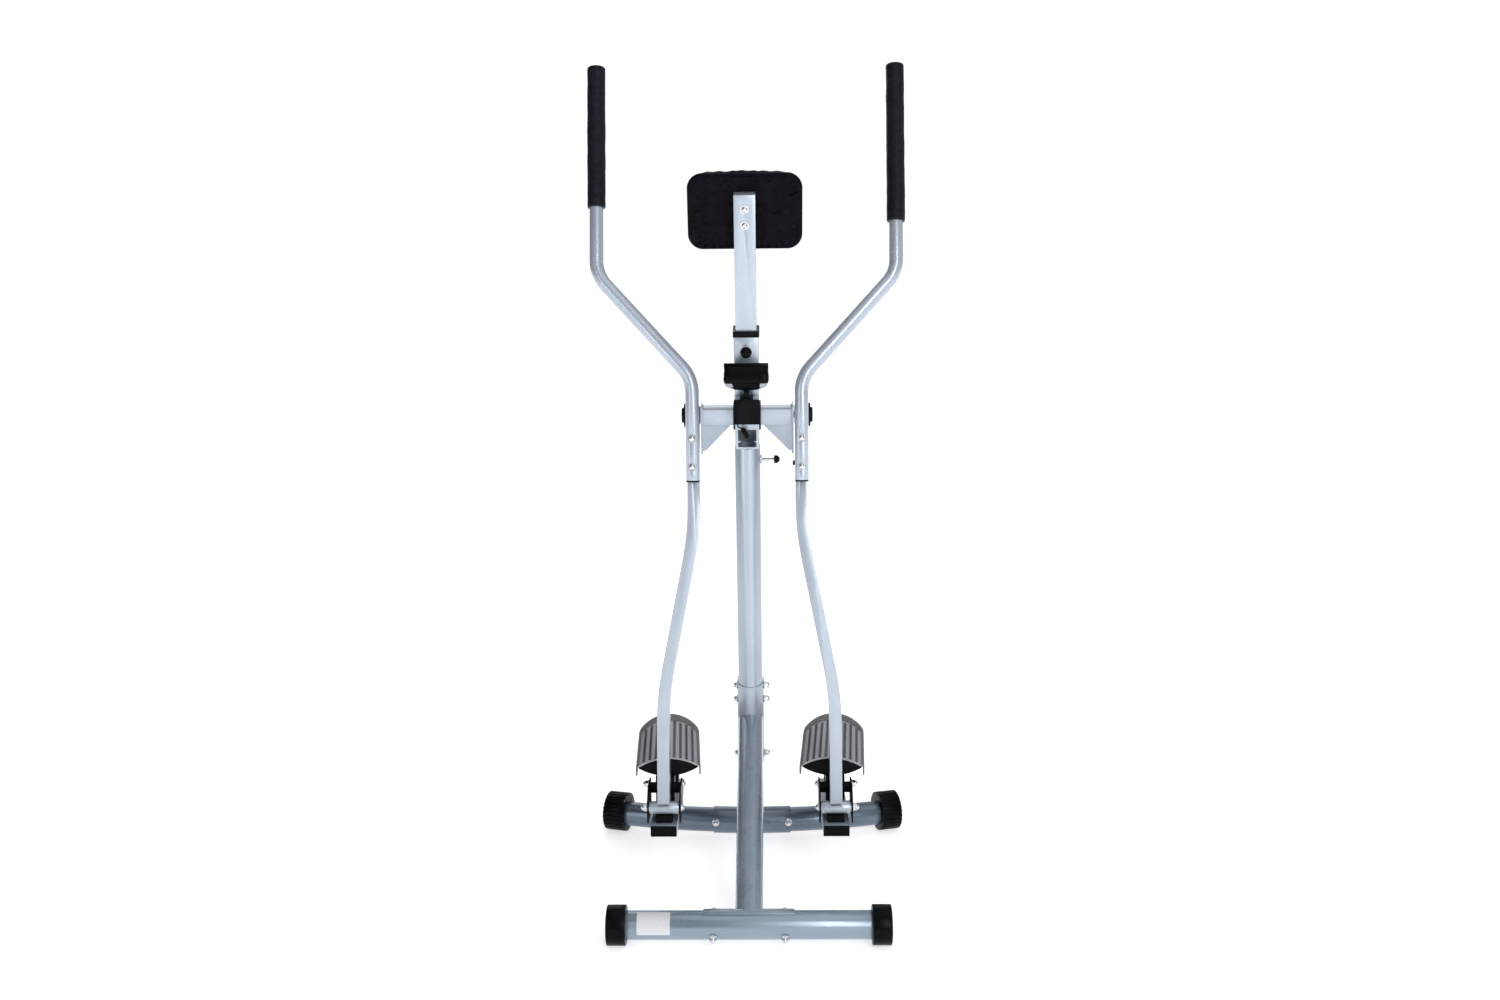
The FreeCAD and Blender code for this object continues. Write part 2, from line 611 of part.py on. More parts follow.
def build_pad():
    """Sliding pad post, the board bolted to it and the cushion."""
    middle = size("pad_centre")
    post = square_tube(local(mast, 0, 0, size("pad_post_bottom")), "dims.pad_post_side", "dims.head_wall",
                       "dims.pad_post_top - dims.pad_post_bottom")
    lid = block(local(mast, 0, 0, size("pad_post_top") - 2), "dims.pad_post_side", "dims.pad_post_side", "2")
    half = size("pad_post_side") / 2
    grip = size("pad_post_side") + size("board_thickness")
    bolts = []
    holes = []
    for at in (middle + 10, middle - 18):
        origin = mast.multVec(Vector(0, -half, at))
        way = mast.Rotation.multVec(Y_AXIS)
        shank = rod(toward(origin, way), "dims.bolt_diameter / 2", str(grip))
        washer = rod(toward(origin, -way), "dims.washer_diameter / 2", "dims.washer_thickness")
        cap = dome(toward(origin - way * size("washer_thickness"), -way))
        bolts.append(fuse(shank, washer, cap))
        holes.append(hole(origin, way, grip))
    node("pad_post", cut(fuse(post, lid), *holes))
    node("pad_bolts", group(*bolts))
    board_at = local(mast, 0, half + size("board_thickness") / 2 + 0.05, middle - size("pad_height") / 2 + 10)
    board = block(board_at, "dims.pad_width - 20", "dims.board_thickness", "dims.pad_height - 20")
    node("pad_board", cut(board, *holes))
    front = half + size("board_thickness") + 0.1 + size("pad_thickness") / 2
    cushion = block(local(mast, 0, front, middle - size("pad_height") / 2), "dims.pad_width",
                    "dims.pad_thickness", "dims.pad_height")
    doc.recompute([cushion])
    edges = []
    for number, edge in enumerate(cushion.Shape.Edges, start=1):
        way = mast.Rotation.inverted().multVec(edge.tangentAt(edge.FirstParameter))
        if abs(way.y) > 0.9:
            edges.append((number, size("pad_corner"), size("pad_corner")))
    rounded = doc.addObject("Part::Fillet", "Fillet")
    rounded.Base = cushion
    rounded.Edges = edges
    node("pad_cushion", rounded)


def arm_frame():
    """Local frame at the pivot, z up along the hanging arm."""
    return Placement(cross, Rotation(X_AXIS, -size("arm_lean")))


def build_arm(name, side):
    """Arm bar with hub and pedal sleeve, handlebar, grip, bushings, cap and bolts."""
    frame = arm_frame()
    arm_x = side * size("arm_x")
    foot_x = side * size("foot_x")
    drop = size("sleeve_drop")
    foot = size("sleeve_diameter") / 2 - 1
    points = [Vector(arm_x, 0, 8), Vector(arm_x, 0, -217), Vector(foot_x - side, 0, -526),
              Vector(foot_x, 0, foot - drop)]
    path = rounded_path(points, 540)
    shells = []
    for shrink in (0, size("tube_wall")):
        across = size("arm_width") - 2 * shrink
        deep = size("arm_depth") - 2 * shrink
        outline = Part.makePlane(across, deep, points[0] - Vector(across / 2, deep / 2, 0)).OuterWire
        shells.append(sweep(path, outline))
    bar = feature(shells[0].cut(shells[1]))
    bar.Placement = frame
    half_hub = size("hub_length") / 2
    hub = rod(local(frame, arm_x - half_hub, 0, 0, X_AXIS), "dims.hub_diameter / 2", "dims.hub_length")
    hub_bore = rod(local(frame, arm_x - half_hub - 1, 0, 0, X_AXIS), "dims.bush_diameter / 2",
                   "dims.hub_length + 2")
    half_sleeve = size("sleeve_length") / 2
    sleeve_start = local(frame, foot_x - half_sleeve, 0, -drop, X_AXIS)
    sleeve = rod(sleeve_start, "dims.sleeve_diameter / 2", "dims.sleeve_length")
    sleeve_bore = rod(local(sleeve_start, 0, 0, -1), "dims.hinge_bolt_diameter / 2 + dims.bearing_clearance",
                      "dims.sleeve_length + 2")
    tube_y = -size("arm_depth") / 2 - size("handle_diameter") / 2 - 0.05
    bolts = []
    holes = []
    front = tube_y - size("handle_diameter") / 2
    for at in (-43, -95):
        origin = frame.multVec(Vector(arm_x, front, at))
        way = frame.Rotation.multVec(Y_AXIS)
        grip = size("arm_depth") / 2 - front
        bolts.append(bolt(origin, way, grip))
        holes.append(hole(origin, way, grip))
    node("arm_bar_" + name, cut(fuse(bar, hub, sleeve), hub_bore, sleeve_bore, *holes))
    node("handle_bolts_" + name, group(*bolts))
    build_handlebar(name, side, tube_y, holes)
    bushes = []
    for way in SIDES.values():
        inner = local(frame, arm_x + way * 0.3, 0, 0, X_AXIS * way)
        length = half_hub - 0.3
        flange = rod(local(inner, 0, 0, length), "dims.bush_flange_diameter / 2", "dims.bush_flange")
        body = rod(inner, "dims.bush_diameter / 2", str(length))
        bore = rod(local(inner, 0, 0, -1), "dims.axle_diameter / 2 + dims.bearing_clearance", str(length + 4))
        bushes.append(cut(fuse(body, flange), bore))
    node("hub_bushings_" + name, group(*bushes))
    cap_at = local(frame, arm_x + side * (half_hub + size("bush_flange") + 0.05), 0, 0, X_AXIS * side)
    disc = fuse(rod(cap_at, "dims.pivot_cap_diameter / 2", "4"), rod(cap_at, "14", "8.2"))
    node("pivot_cap_" + name, cut(disc, rod(local(cap_at, 0, 0, -1), "11.5", "7.4")))
    if side > 0:
        inside = arm_x - size("arm_width") / 2
        node("arm_magnet", block(local(frame, inside - 2.6, 0, -94), "5", "7", "9"))


def build_handlebar(name, side, tube_y, holes):
    """Bent handlebar tube, the foam grip on its upper end and the plug in its lower end."""
    frame = arm_frame()
    arm_x = side * size("arm_x")
    bottom = size("handle_bottom")
    top = size("handle_top")
    back = 0.175
    low_bend = 68
    high_bend = 261
    points = [Vector(arm_x, tube_y, bottom), Vector(arm_x, tube_y, low_bend),
              Vector(side * 277.5, tube_y + back * (high_bend - low_bend), high_bend),
              Vector(side * 281, tube_y + back * (top - low_bend), top)]
    path = rounded_path(points, size("handle_bend"))
    radius = size("handle_diameter") / 2
    outer = sweep(path, ring(path, radius))
    inner = sweep(path, ring(path, radius - size("handle_wall")))
    bar = feature(outer.cut(inner))
    bar.Placement = frame
    node("handlebar_" + name, cut(bar, *holes))
    plug_at = local(frame, arm_x, tube_y, bottom - 3)
    node("handle_plug_" + name, fuse(rod(plug_at, "dims.handle_diameter / 2", "2.95"),
                                     rod(plug_at, "dims.handle_diameter / 2 - dims.handle_wall - 0.05", "12")))
    way = (points[3] - points[2]).normalize()
    length = size(name + "_grip_length")
    start = points[3] - way * (length - 7)
    foam = rod(frame.multiply(toward(start, way)), "dims.grip_diameter / 2", str(length))
    bore = rod(frame.multiply(toward(start - way, way)), "dims.handle_diameter / 2 + 0.05", str(length - 5.8))
    node("grip_" + name, cut(foam, bore))


def pedal_frame(side):
    """Local frame at the pedal hinge, level, y toward the user."""
    pivot = arm_frame().multVec(Vector(side * size("foot_x"), 0, -size("sleeve_drop")))
    return Placement(pivot, Rotation())


def build_pedal(name, side):
    """Pedal yoke and support tube, plug, bumper, bolts, under-tray and tread shell."""
    frame = pedal_frame(side)
    half_sleeve = size("sleeve_length") / 2
    plates = []
    side_view = [("-13", "-27"), ("58", "-27"), ("58", "38"), ("12", "38"), ("-13", "13")]
    for way in SIDES.values():
        middle = way * (half_sleeve + 2.3)
        upright = frame.multiply(Placement(Vector(middle - 1.5, 0, 0), Rotation(Vector(1, 1, 1), 120)))
        plates.append(plate(upright, side_view, "3"))
    web = block(local(frame, 0, 30, 18), str(size("sleeve_length") + 2), "3", "20")
    riser = block(local(frame, 0, 46, -27), "36", "24", "75")
    width = "dims.pedal_tube_width"
    high = "dims.pedal_tube_height"
    start = local(frame, 0, -24, -27 - size("pedal_tube_height") / 2, Y_AXIS)
    long_tube = cut(block(start, width, high, "dims.pedal_tube_length"),
                    block(start, width + " - 3.2", high + " - 3.2", "dims.pedal_tube_length"))
    stay = block(local(frame, 0, 200, -27), "30", "30", "75")
    hinge = rod(local(frame, -40, 0, 0, X_AXIS), "dims.hinge_bolt_diameter / 2 + 0.1", "80")
    stop = rod(local(frame, -40, 44, 30, X_AXIS), "4.2", "80")
    node("pedal_frame_" + name, cut(fuse(*plates, web, riser, long_tube, stay), hinge, stop))
    reach = 2 * (half_sleeve + 3.8)
    origin = frame.multVec(Vector(-side * reach / 2, 0, 0))
    hinge_bolt = bolt(origin, X_AXIS * side, reach, diameter="dims.hinge_bolt_diameter")
    origin = frame.multVec(Vector(-side * reach / 2, 44, 30))
    stop_bolt = bolt(origin, X_AXIS * side, reach)
    node("pedal_bolts_" + name, group(hinge_bolt, stop_bolt))
    node("pedal_plug_" + name, fuse(block(local(start, 0, 0, -2.05), width, high, "2"),
                                    block(local(start, 0, 0, -0.1), width + " - 3.6", high + " - 3.6", "12")))
    node("pedal_bumper_" + name, block(local(frame, 0, 0, -26.95), "32", "22", "13.5"))
    build_tread(name, frame, side)


def arched_bar(frame, half, edge, crown, floor, length):
    """A bar along y whose top is an arch from edge height at its sides to the crown."""
    left = Vector(-half, 0, edge)
    right = Vector(half, 0, edge)
    edges = [Part.Arc(left, Vector(0, 0, crown), right).toShape(),
             Part.LineSegment(right, Vector(half, 0, floor)).toShape(),
             Part.LineSegment(Vector(half, 0, floor), Vector(-half, 0, floor)).toShape(),
             Part.LineSegment(Vector(-half, 0, floor), left).toShape()]
    bar = feature(Part.Face(Part.Wire(edges)).extrude(Vector(0, length, 0)))
    bar.Placement = frame
    return bar


def foot_plan(frame, half, length, height):
    """A bar along z whose plan is a pedal: square in front and round behind."""
    turn = half * 0.92
    edges = [Part.LineSegment(Vector(half, 0, 0), Vector(-half, 0, 0)).toShape(),
             Part.LineSegment(Vector(-half, 0, 0), Vector(-half, length - turn, 0)).toShape(),
             Part.Arc(Vector(-half, length - turn, 0), Vector(0, length, 0),
                      Vector(half, length - turn, 0)).toShape(),
             Part.LineSegment(Vector(half, length - turn, 0), Vector(half, 0, 0)).toShape()]
    bar = feature(Part.Face(Part.Wire(edges)).extrude(Vector(0, 0, height)))
    bar.Placement = frame
    return bar


def build_tread(name, frame, side):
    """Crowned tread shell with skirts over a hull-shaped tray."""
    half = size("pedal_width") / 2
    crown = size("pedal_crown")
    edge = crown - size("pedal_edge_drop")
    length = size("pedal_length")
    wall = size("tread_thickness")
    skirt = edge - size("pedal_skirt")
    offset = -side * size("pedal_inset")
    start = Placement(Vector(offset, size("pedal_start"), 0), Rotation(Z_AXIS, -side * size("pedal_toe_out")))
    at = frame.multiply(start)
    outer = arched_bar(at, half, edge, crown, skirt, length)
    room = arched_bar(local(at, 0, -1, 0), half - wall, edge - wall, crown - wall, skirt - 1, length + 2)
    shell = common(cut(outer, room), foot_plan(local(at, 0, 0, skirt - 2), half, length, 60))
    node("pedal_tread_" + name, shell)
    inner = half - wall - 0.05
    top = arched_bar(at, inner, edge - wall - 0.05, crown - wall - 0.05, 20, length)
    belly = rod(local(at, 0, -1, 48.05 + size("hull_radius"), Y_AXIS), "dims.hull_radius", str(length + 2))
    plan = foot_plan(local(at, 0, 0, 10), inner, length - wall, 90)
    node("pedal_tray_" + name, common(common(top, plan), belly))


def build_lead():
    """Sensor lead from the monitor's foot down the stub plug to its connector at the head tube's window."""
    route = [mast.multVec(Vector(*point)) for point in (
        (-7, -50.8, 938.1), (-7.3, -58.5, 941.6), (-8.8, -65.3, 939.2), (-11.3, -68.8, 932.4),
        (-14.2, -68.8, 924.2), (-16.6, -67.2, 914.4), (-17.8, -64.4, 903.6), (-17.4, -60.4, 892.6),
        (-15.4, -53.4, 884.6), (-12.4, -43.8, 880.6), (-9, -35, 876.2))]
    edges = []
    radii = []
    start = route[0]
    for index in range(1, len(route) - 1):
        before, corner, after = route[index - 1:index + 2]
        inward = (corner - before).normalize()
        outward = (after - corner).normalize()
        turn = inward.getAngle(outward)
        shorter = min((corner - before).Length, (after - corner).Length)
        reach = 0.45 * shorter
        radius = reach / math.tan(turn / 2)
        radii.append(radius)
        first = corner - inward * reach
        last = corner + outward * reach
        way = (outward - inward).normalize()
        middle = corner + way * (radius / math.cos(turn / 2) - radius)
        edges.append(Part.LineSegment(start, first).toShape())
        edges.append(Part.Arc(first, middle, last).toShape())
        start = last
    edges.append(Part.LineSegment(start, route[-1]).toShape())
    path = Part.Wire(edges)
    radius = size("lead_diameter") / 2
    lead = sweep(path, ring(path, radius))
    section = math.pi * radius ** 2
    print("lead length %.1f, volume over section %.1f" % (path.Length, lead.Volume / section))
    print("lead radii", ["%.1f" % value for value in radii])
    print("lead route", ["(%.2f, %.2f, %.2f)" % tuple(point) for point in route])
    node("sensor_lead", feature(lead))
    way = (mast.multVec(Vector(-0.5, -27.2, 858)) - route[-1]).normalize()
    node("sensor_plug", fuse(rod(toward(route[-1] + way * 0.5, way), "3.2", "6"),
                             rod(toward(route[-1] + way * 5, way), "5", "17")))


front_holes = build_front_base()
build_front_leg(front_holes)
rear_holes = build_rear_base()
build_main_post(rear_holes)
build_brace()
build_head()
build_stub()
build_monitor()
build_pins()
build_pad()
for side_name, side_sign in SIDES.items():
    build_arm(side_name, side_sign)
    build_pedal(side_name, side_sign)
build_lead()

label_ring = toward(front_axis + Vector(-196, 0, 0), X_AXIS)
label_shell = cut(rod(label_ring, "dims.base_diameter / 2 + 0.35", "58"),
                  rod(label_ring, "dims.base_diameter / 2 + 0.05", "58"))
label_zone = block(Placement(front_axis + Vector(-167, -30, -7), Rotation()), "70", "60", "32")
node("base_label", common(label_shell, label_zone))

doc.recompute()
for item in doc.Objects:
    if "Invalid" in item.State or "Error" in item.State:
        raise RuntimeError("%s (%s) failed: %s" % (item.Name, item.Label, item.State))
for item in nodes:
    if item.Shape.isNull() or not item.Shape.isValid() or not item.Shape.Solids:
        raise RuntimeError("sub-part %s has no valid solid" % item.Label)

os.makedirs("parts", exist_ok=True)
for item in nodes:
    item.Shape.exportStep("parts/%s.step" % item.Label)

whole = FreeCAD.BoundBox()
for item in nodes:
    whole.add(item.Shape.BoundBox)
print("nodes %d, box %s" % (len(nodes), whole))
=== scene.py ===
"""Air walker with a chest pad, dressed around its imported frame."""

import json
import logging
import math
from dataclasses import dataclass
from enum import Enum
from typing import Callable, Sequence

import bmesh
import bpy
from mathutils import Matrix, Vector
from mathutils.noise import noise as smooth_noise

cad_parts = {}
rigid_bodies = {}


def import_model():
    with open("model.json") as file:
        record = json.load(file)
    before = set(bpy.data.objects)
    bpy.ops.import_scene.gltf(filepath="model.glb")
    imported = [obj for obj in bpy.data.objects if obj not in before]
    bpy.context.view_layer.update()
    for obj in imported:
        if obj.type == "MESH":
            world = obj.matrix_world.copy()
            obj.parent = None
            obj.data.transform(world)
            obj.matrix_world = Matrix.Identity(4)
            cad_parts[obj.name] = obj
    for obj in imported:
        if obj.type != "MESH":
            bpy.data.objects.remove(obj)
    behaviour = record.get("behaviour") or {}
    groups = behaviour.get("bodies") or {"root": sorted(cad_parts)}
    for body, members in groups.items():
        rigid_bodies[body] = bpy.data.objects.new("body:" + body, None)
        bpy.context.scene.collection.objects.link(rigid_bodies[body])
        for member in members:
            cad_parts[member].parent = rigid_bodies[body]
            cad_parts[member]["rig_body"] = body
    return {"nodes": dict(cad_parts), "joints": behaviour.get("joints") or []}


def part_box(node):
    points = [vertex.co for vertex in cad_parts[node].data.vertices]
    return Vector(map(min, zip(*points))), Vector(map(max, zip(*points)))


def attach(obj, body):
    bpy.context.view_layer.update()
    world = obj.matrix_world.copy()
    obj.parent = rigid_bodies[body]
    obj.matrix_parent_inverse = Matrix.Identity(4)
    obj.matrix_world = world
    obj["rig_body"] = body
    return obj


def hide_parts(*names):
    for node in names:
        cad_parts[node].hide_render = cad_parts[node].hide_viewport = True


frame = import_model()

LOG = logging.getLogger("air_walker")
Colour = tuple[float, float, float]
MM = 0.001


class Side(Enum):
    """The two sides of the machine and their sign along X."""

    LEFT = -1
    RIGHT = 1

    @property
    def word(self) -> str:
        """Lower-case name, as the frame's nodes use it."""
        return self.name.lower()


class Slot(Enum):
    """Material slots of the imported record."""

    SILVER = "silver_paint"
    GREY = "grey_paint"
    ZINC = "bright_zinc"
    BLACK = "black_plastic"
    PALE = "grey_plastic"
    BEARING = "bearing_plastic"
    FOAM = "foam"
    VINYL = "vinyl"
    BOARD = "board"
    RUBBER = "rubber"
    DARK = "dark_moulding"
    YOKE = "yoke_paint"
    LENS = "lens"
    LABEL = "label"
    MAGNET = "magnet"


def joint(name: str) -> dict:
    """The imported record's entry for one joint."""
    return next(entry for entry in frame["joints"] if entry["name"] == name)


def middle(node: str) -> Vector:
    """Centre of a node's box."""
    low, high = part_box(node)
    return (low + high) / 2


UP_MAST = Vector(joint("pad_height")["axis"]).normalized()
SLOT_OF = {name: Slot(entry.data.materials[0].name.split(".")[0])
           for name, entry in frame["nodes"].items()}
ACROSS = Vector((1.0, 0.0, 0.0))
OFF_MAST = UP_MAST.cross(ACROSS).normalized()
PIVOT = Vector(joint("left_arm_swing")["pos_m"])


# ---------------------------------------------------------------- finishes


class Maker:
    """Short hand for filling one tree of nodes."""

    def __init__(self, tree: bpy.types.NodeTree) -> None:
        """Keeps the tree."""
        self.tree = tree

    def put(self, value: object, socket: bpy.types.NodeSocket) -> None:
        """Sets a socket, or links another socket to it."""
        if isinstance(value, bpy.types.NodeSocket):
            self.tree.links.new(value, socket)
        else:
            socket.default_value = value

    def add(self, kind: str, inputs: dict[str | int, object] | None = None,
            **values: object) -> bpy.types.Node:
        """Adds a node, sets its properties, then sets or links its sockets."""
        made = self.tree.nodes.new(kind)
        for key, value in values.items():
            setattr(made, key, value)
        for key, value in (inputs or {}).items():
            self.put(value, made.inputs[key])
        return made


class Graph(Maker):
    """Short hand for building one procedural material."""

    def __init__(self, name: str, colour: Colour, roughness: float) -> None:
        """Starts a material with a plain shader.

        Args:
            name: material name.
            colour: base colour, linear.
            roughness: base roughness.
        """
        self.material = bpy.data.materials.new(name)
        self.material.use_nodes = True
        super().__init__(self.material.node_tree)
        self.shader = self.tree.nodes["Principled BSDF"]
        self.shader.inputs["Base Color"].default_value = (*colour, 1.0)
        self.shader.inputs["Roughness"].default_value = roughness
        self.place = self.add("ShaderNodeTexCoord").outputs["Object"]

    def constants(self, **values: float) -> None:
        """Sets the shader's own sockets; an underscore stands for a space."""
        for key, value in values.items():
            self.shader.inputs[key.replace("_", " ")].default_value = value

    def stretched(self, scale: Sequence[float]) -> bpy.types.NodeSocket:
        """Object coordinates with one scale for each axis."""
        return self.add("ShaderNodeMapping", {"Vector": self.place, "Scale": tuple(scale)}).outputs["Vector"]

    def noise(self, scale: float, detail: float = 3.0, at: object = None,
              distortion: float = 0.0) -> bpy.types.NodeSocket:
        """Noise of a given scale per metre.

        Args:
            scale: cells per metre.
            detail: octaves.
            at: coordinates, the object's own where none are given.
            distortion: warp of the pattern.

        Returns:
            The factor socket.
        """
        return self.add("ShaderNodeTexNoise", {"Vector": at or self.place, "Scale": scale, "Detail": detail,
                                               "Distortion": distortion}).outputs["Fac"]

    def cells(self, scale: float, feature: str = "F1") -> bpy.types.NodeSocket:
        """Cell pattern, its distance socket."""
        return self.add("ShaderNodeTexVoronoi", {"Vector": self.place, "Scale": scale},
                        feature=feature).outputs["Distance"]

    def spread(self, source: bpy.types.NodeSocket, low: float, high: float,
               start: float = 0.3, end: float = 0.7) -> bpy.types.NodeSocket:
        """Maps a factor from start..end to low..high, held inside."""
        return self.add("ShaderNodeMapRange", {"Value": source, "From Min": start, "From Max": end,
                                               "To Min": low, "To Max": high}).outputs["Result"]

    def tint(self, factor: bpy.types.NodeSocket, first: object, second: object) -> bpy.types.NodeSocket:
        """Mixes two colours or colour sockets."""
        first, second = ((*value, 1.0) if isinstance(value, tuple) else value for value in (first, second))
        return self.add("ShaderNodeMix", {"Factor": factor, 6: first, 7: second}, data_type="RGBA").outputs[2]

    def bump(self, *layers: tuple[bpy.types.NodeSocket, float, float]) -> None:
        """Stacks bump layers, each a height socket, a strength and a distance in metres."""
        below = {}
        for height, strength, distance in layers:
            made = self.add("ShaderNodeBump", {"Height": height, "Strength": strength,
                                               "Distance": distance, **below})
            below = {"Normal": made.outputs["Normal"]}
        self.put(below["Normal"], self.shader.inputs["Normal"])

    def finish(self, colour: object = None, roughness: object = None) -> bpy.types.Material:
        """Links the last colour and roughness and returns the material."""
        if colour is not None:
            self.put(colour, self.shader.inputs["Base Color"])
        if roughness is not None:
            self.put(roughness, self.shader.inputs["Roughness"])
        return self.material


@dataclass(frozen=True)
class Paint:
    """Powder coat with faint clouds, flake and scuffs, and with streaks where they are asked for."""

    name: str
    colour: Colour
    dark: Colour
    worn: Colour
    roughness: float = 0.34
    metallic: float = 0.55
    streak: float = 0.0
    grain: tuple[float, float, float] = (210.0, 210.0, 3.0)

    def build(self) -> bpy.types.Material:
        """Makes the material."""
        g = Graph(self.name, self.colour, self.roughness)
        g.constants(Metallic=self.metallic, Coat_Weight=0.35, Coat_Roughness=0.16)
        clouds = g.noise(7.0, 2.0)
        flake = g.noise(2600.0, 1.0)
        tone = g.tint(g.spread(clouds, 0.7, 1.0, 0.35, 0.68), self.dark, self.colour)
        tone = g.tint(g.spread(flake, 0.0, 0.05, 0.52, 0.72), tone, self.worn)
        if self.streak:
            runs = g.noise(1.0, 1.5, g.stretched(self.grain))
            tone = g.tint(g.spread(runs, 0.0, self.streak, 0.4, 0.72), tone, self.dark)
        scuffs = g.spread(g.noise(46.0, 3.0), 0.0, 0.2, 0.6, 0.8)
        tone = g.tint(scuffs, tone, self.worn)
        rough = g.spread(g.noise(12.0, 1.0), self.roughness - 0.04, self.roughness + 0.06)
        g.bump((g.noise(90.0, 0.0), 0.02, 0.0003))
        return g.finish(tone, rough)


@dataclass(frozen=True)
class Metal:
    """Plated steel with fine turning marks and smudges."""

    name: str
    colour: Colour
    roughness: float = 0.2
    dulled: float = 0.72

    def build(self) -> bpy.types.Material:
        """Makes the material."""
        g = Graph(self.name, self.colour, self.roughness)
        g.constants(Metallic=1.0)
        dull = tuple(self.dulled * part for part in self.colour)
        tone = g.tint(g.spread(g.noise(260.0, 4.0), 0.0, 1.0), dull, self.colour)
        rough = g.spread(g.noise(150.0, 5.0), self.roughness - 0.06, self.roughness + 0.16)
        g.bump((g.noise(1.0, 3.0, g.stretched((900.0, 900.0, 5200.0))), 0.08, 0.0001))
        return g.finish(tone, rough)


@dataclass(frozen=True)
class Plastic:
    """Moulded plastic with a spark-eroded grain and a little dust."""

    name: str
    colour: Colour
    roughness: float = 0.35
    grain: float = 1500.0
    depth: float = 0.18
    dust: float = 0.05
    pale: Colour = (0.02, 0.02, 0.026)
    shine: float = 0.07

    def build(self) -> bpy.types.Material:
        """Makes the material."""
        g = Graph(self.name, self.colour, self.roughness)
        g.constants(Specular_IOR_Level=self.shine)
        grain = g.noise(self.grain, 2.0)
        tone = g.tint(g.spread(g.noise(45.0, 5.0), 0.0, self.dust, 0.45, 0.8), self.colour, self.pale)
        rough = g.spread(g.noise(60.0, 4.0), self.roughness - 0.06, self.roughness + 0.1)
        g.bump((grain, self.depth, 0.0002), (g.noise(90.0, 2.0), 0.06, 0.0006))
        return g.finish(tone, rough)


@dataclass(frozen=True)
class FoamSkin:
    """Matte foam with fine pores, shade painted into their pits, and a faint bloom."""

    name: str
    colour: Colour = (0.0045, 0.0045, 0.0075)
    bloom: Colour = (0.011, 0.011, 0.018)

    def build(self) -> bpy.types.Material:
        """Makes the material."""
        g = Graph(self.name, self.colour, 0.58)
        g.constants(Specular_IOR_Level=0.11)
        pores = g.cells(1300.0)
        tone = g.tint(g.spread(g.noise(120.0, 5.0), 0.0, 1.0), self.colour, self.bloom)
        # Pore centres are painted darker: painted shade in the pits.
        tone = g.tint(g.spread(pores, 0.8, 0.0, 0.1, 0.45), tone, (0.003, 0.003, 0.004))
        g.bump((pores, 0.3, 0.0004), (g.noise(120.0, 3.0), 0.22, 0.001))
        return g.finish(tone, g.spread(g.noise(90.0, 3.0), 0.38, 0.52))


@dataclass(frozen=True)
class VinylSkin:
    """Coated cloth with a leather grain, creases and a soft plum highlight painted into its colour."""

    name: str
    colour: Colour = (0.0018, 0.0012, 0.003)
    # Colour of the painted plum highlight.
    shine: Colour = (0.005, 0.0036, 0.0085)

    def build(self) -> bpy.types.Material:
        """Makes the material."""
        g = Graph(self.name, self.colour, 0.33)
        g.constants(Specular_IOR_Level=0.05)
        grain = g.cells(950.0, feature="SMOOTH_F1")
        # Patches of plum shine mixed into the colour: a painted highlight.
        tone = g.tint(g.spread(g.noise(55.0, 5.0), 0.0, 1.0, 0.4, 0.75), self.colour, self.shine)
        creases = g.noise(75.0, 5.0, distortion=1.4)
        g.bump((creases, 0.3, 0.003), (grain, 0.3, 0.0003))
        return g.finish(tone, g.spread(g.noise(40.0, 4.0), 0.24, 0.44))


@dataclass(frozen=True)
class Paper:
    """Blank coated sticker with softly lifted fibres."""

    name: str
    colour: Colour = (0.7, 0.71, 0.74)

    def build(self) -> bpy.types.Material:
        """Makes the material."""
        g = Graph(self.name, self.colour, 0.4)
        tone = g.tint(g.spread(g.noise(300.0, 4.0), 0.0, 0.4), self.colour, (0.58, 0.59, 0.62))
        g.bump((g.noise(900.0, 3.0), 0.12, 0.0001), (g.noise(60.0, 2.0), 0.2, 0.0004))
        return g.finish(tone, g.spread(g.noise(120.0, 3.0), 0.34, 0.5))


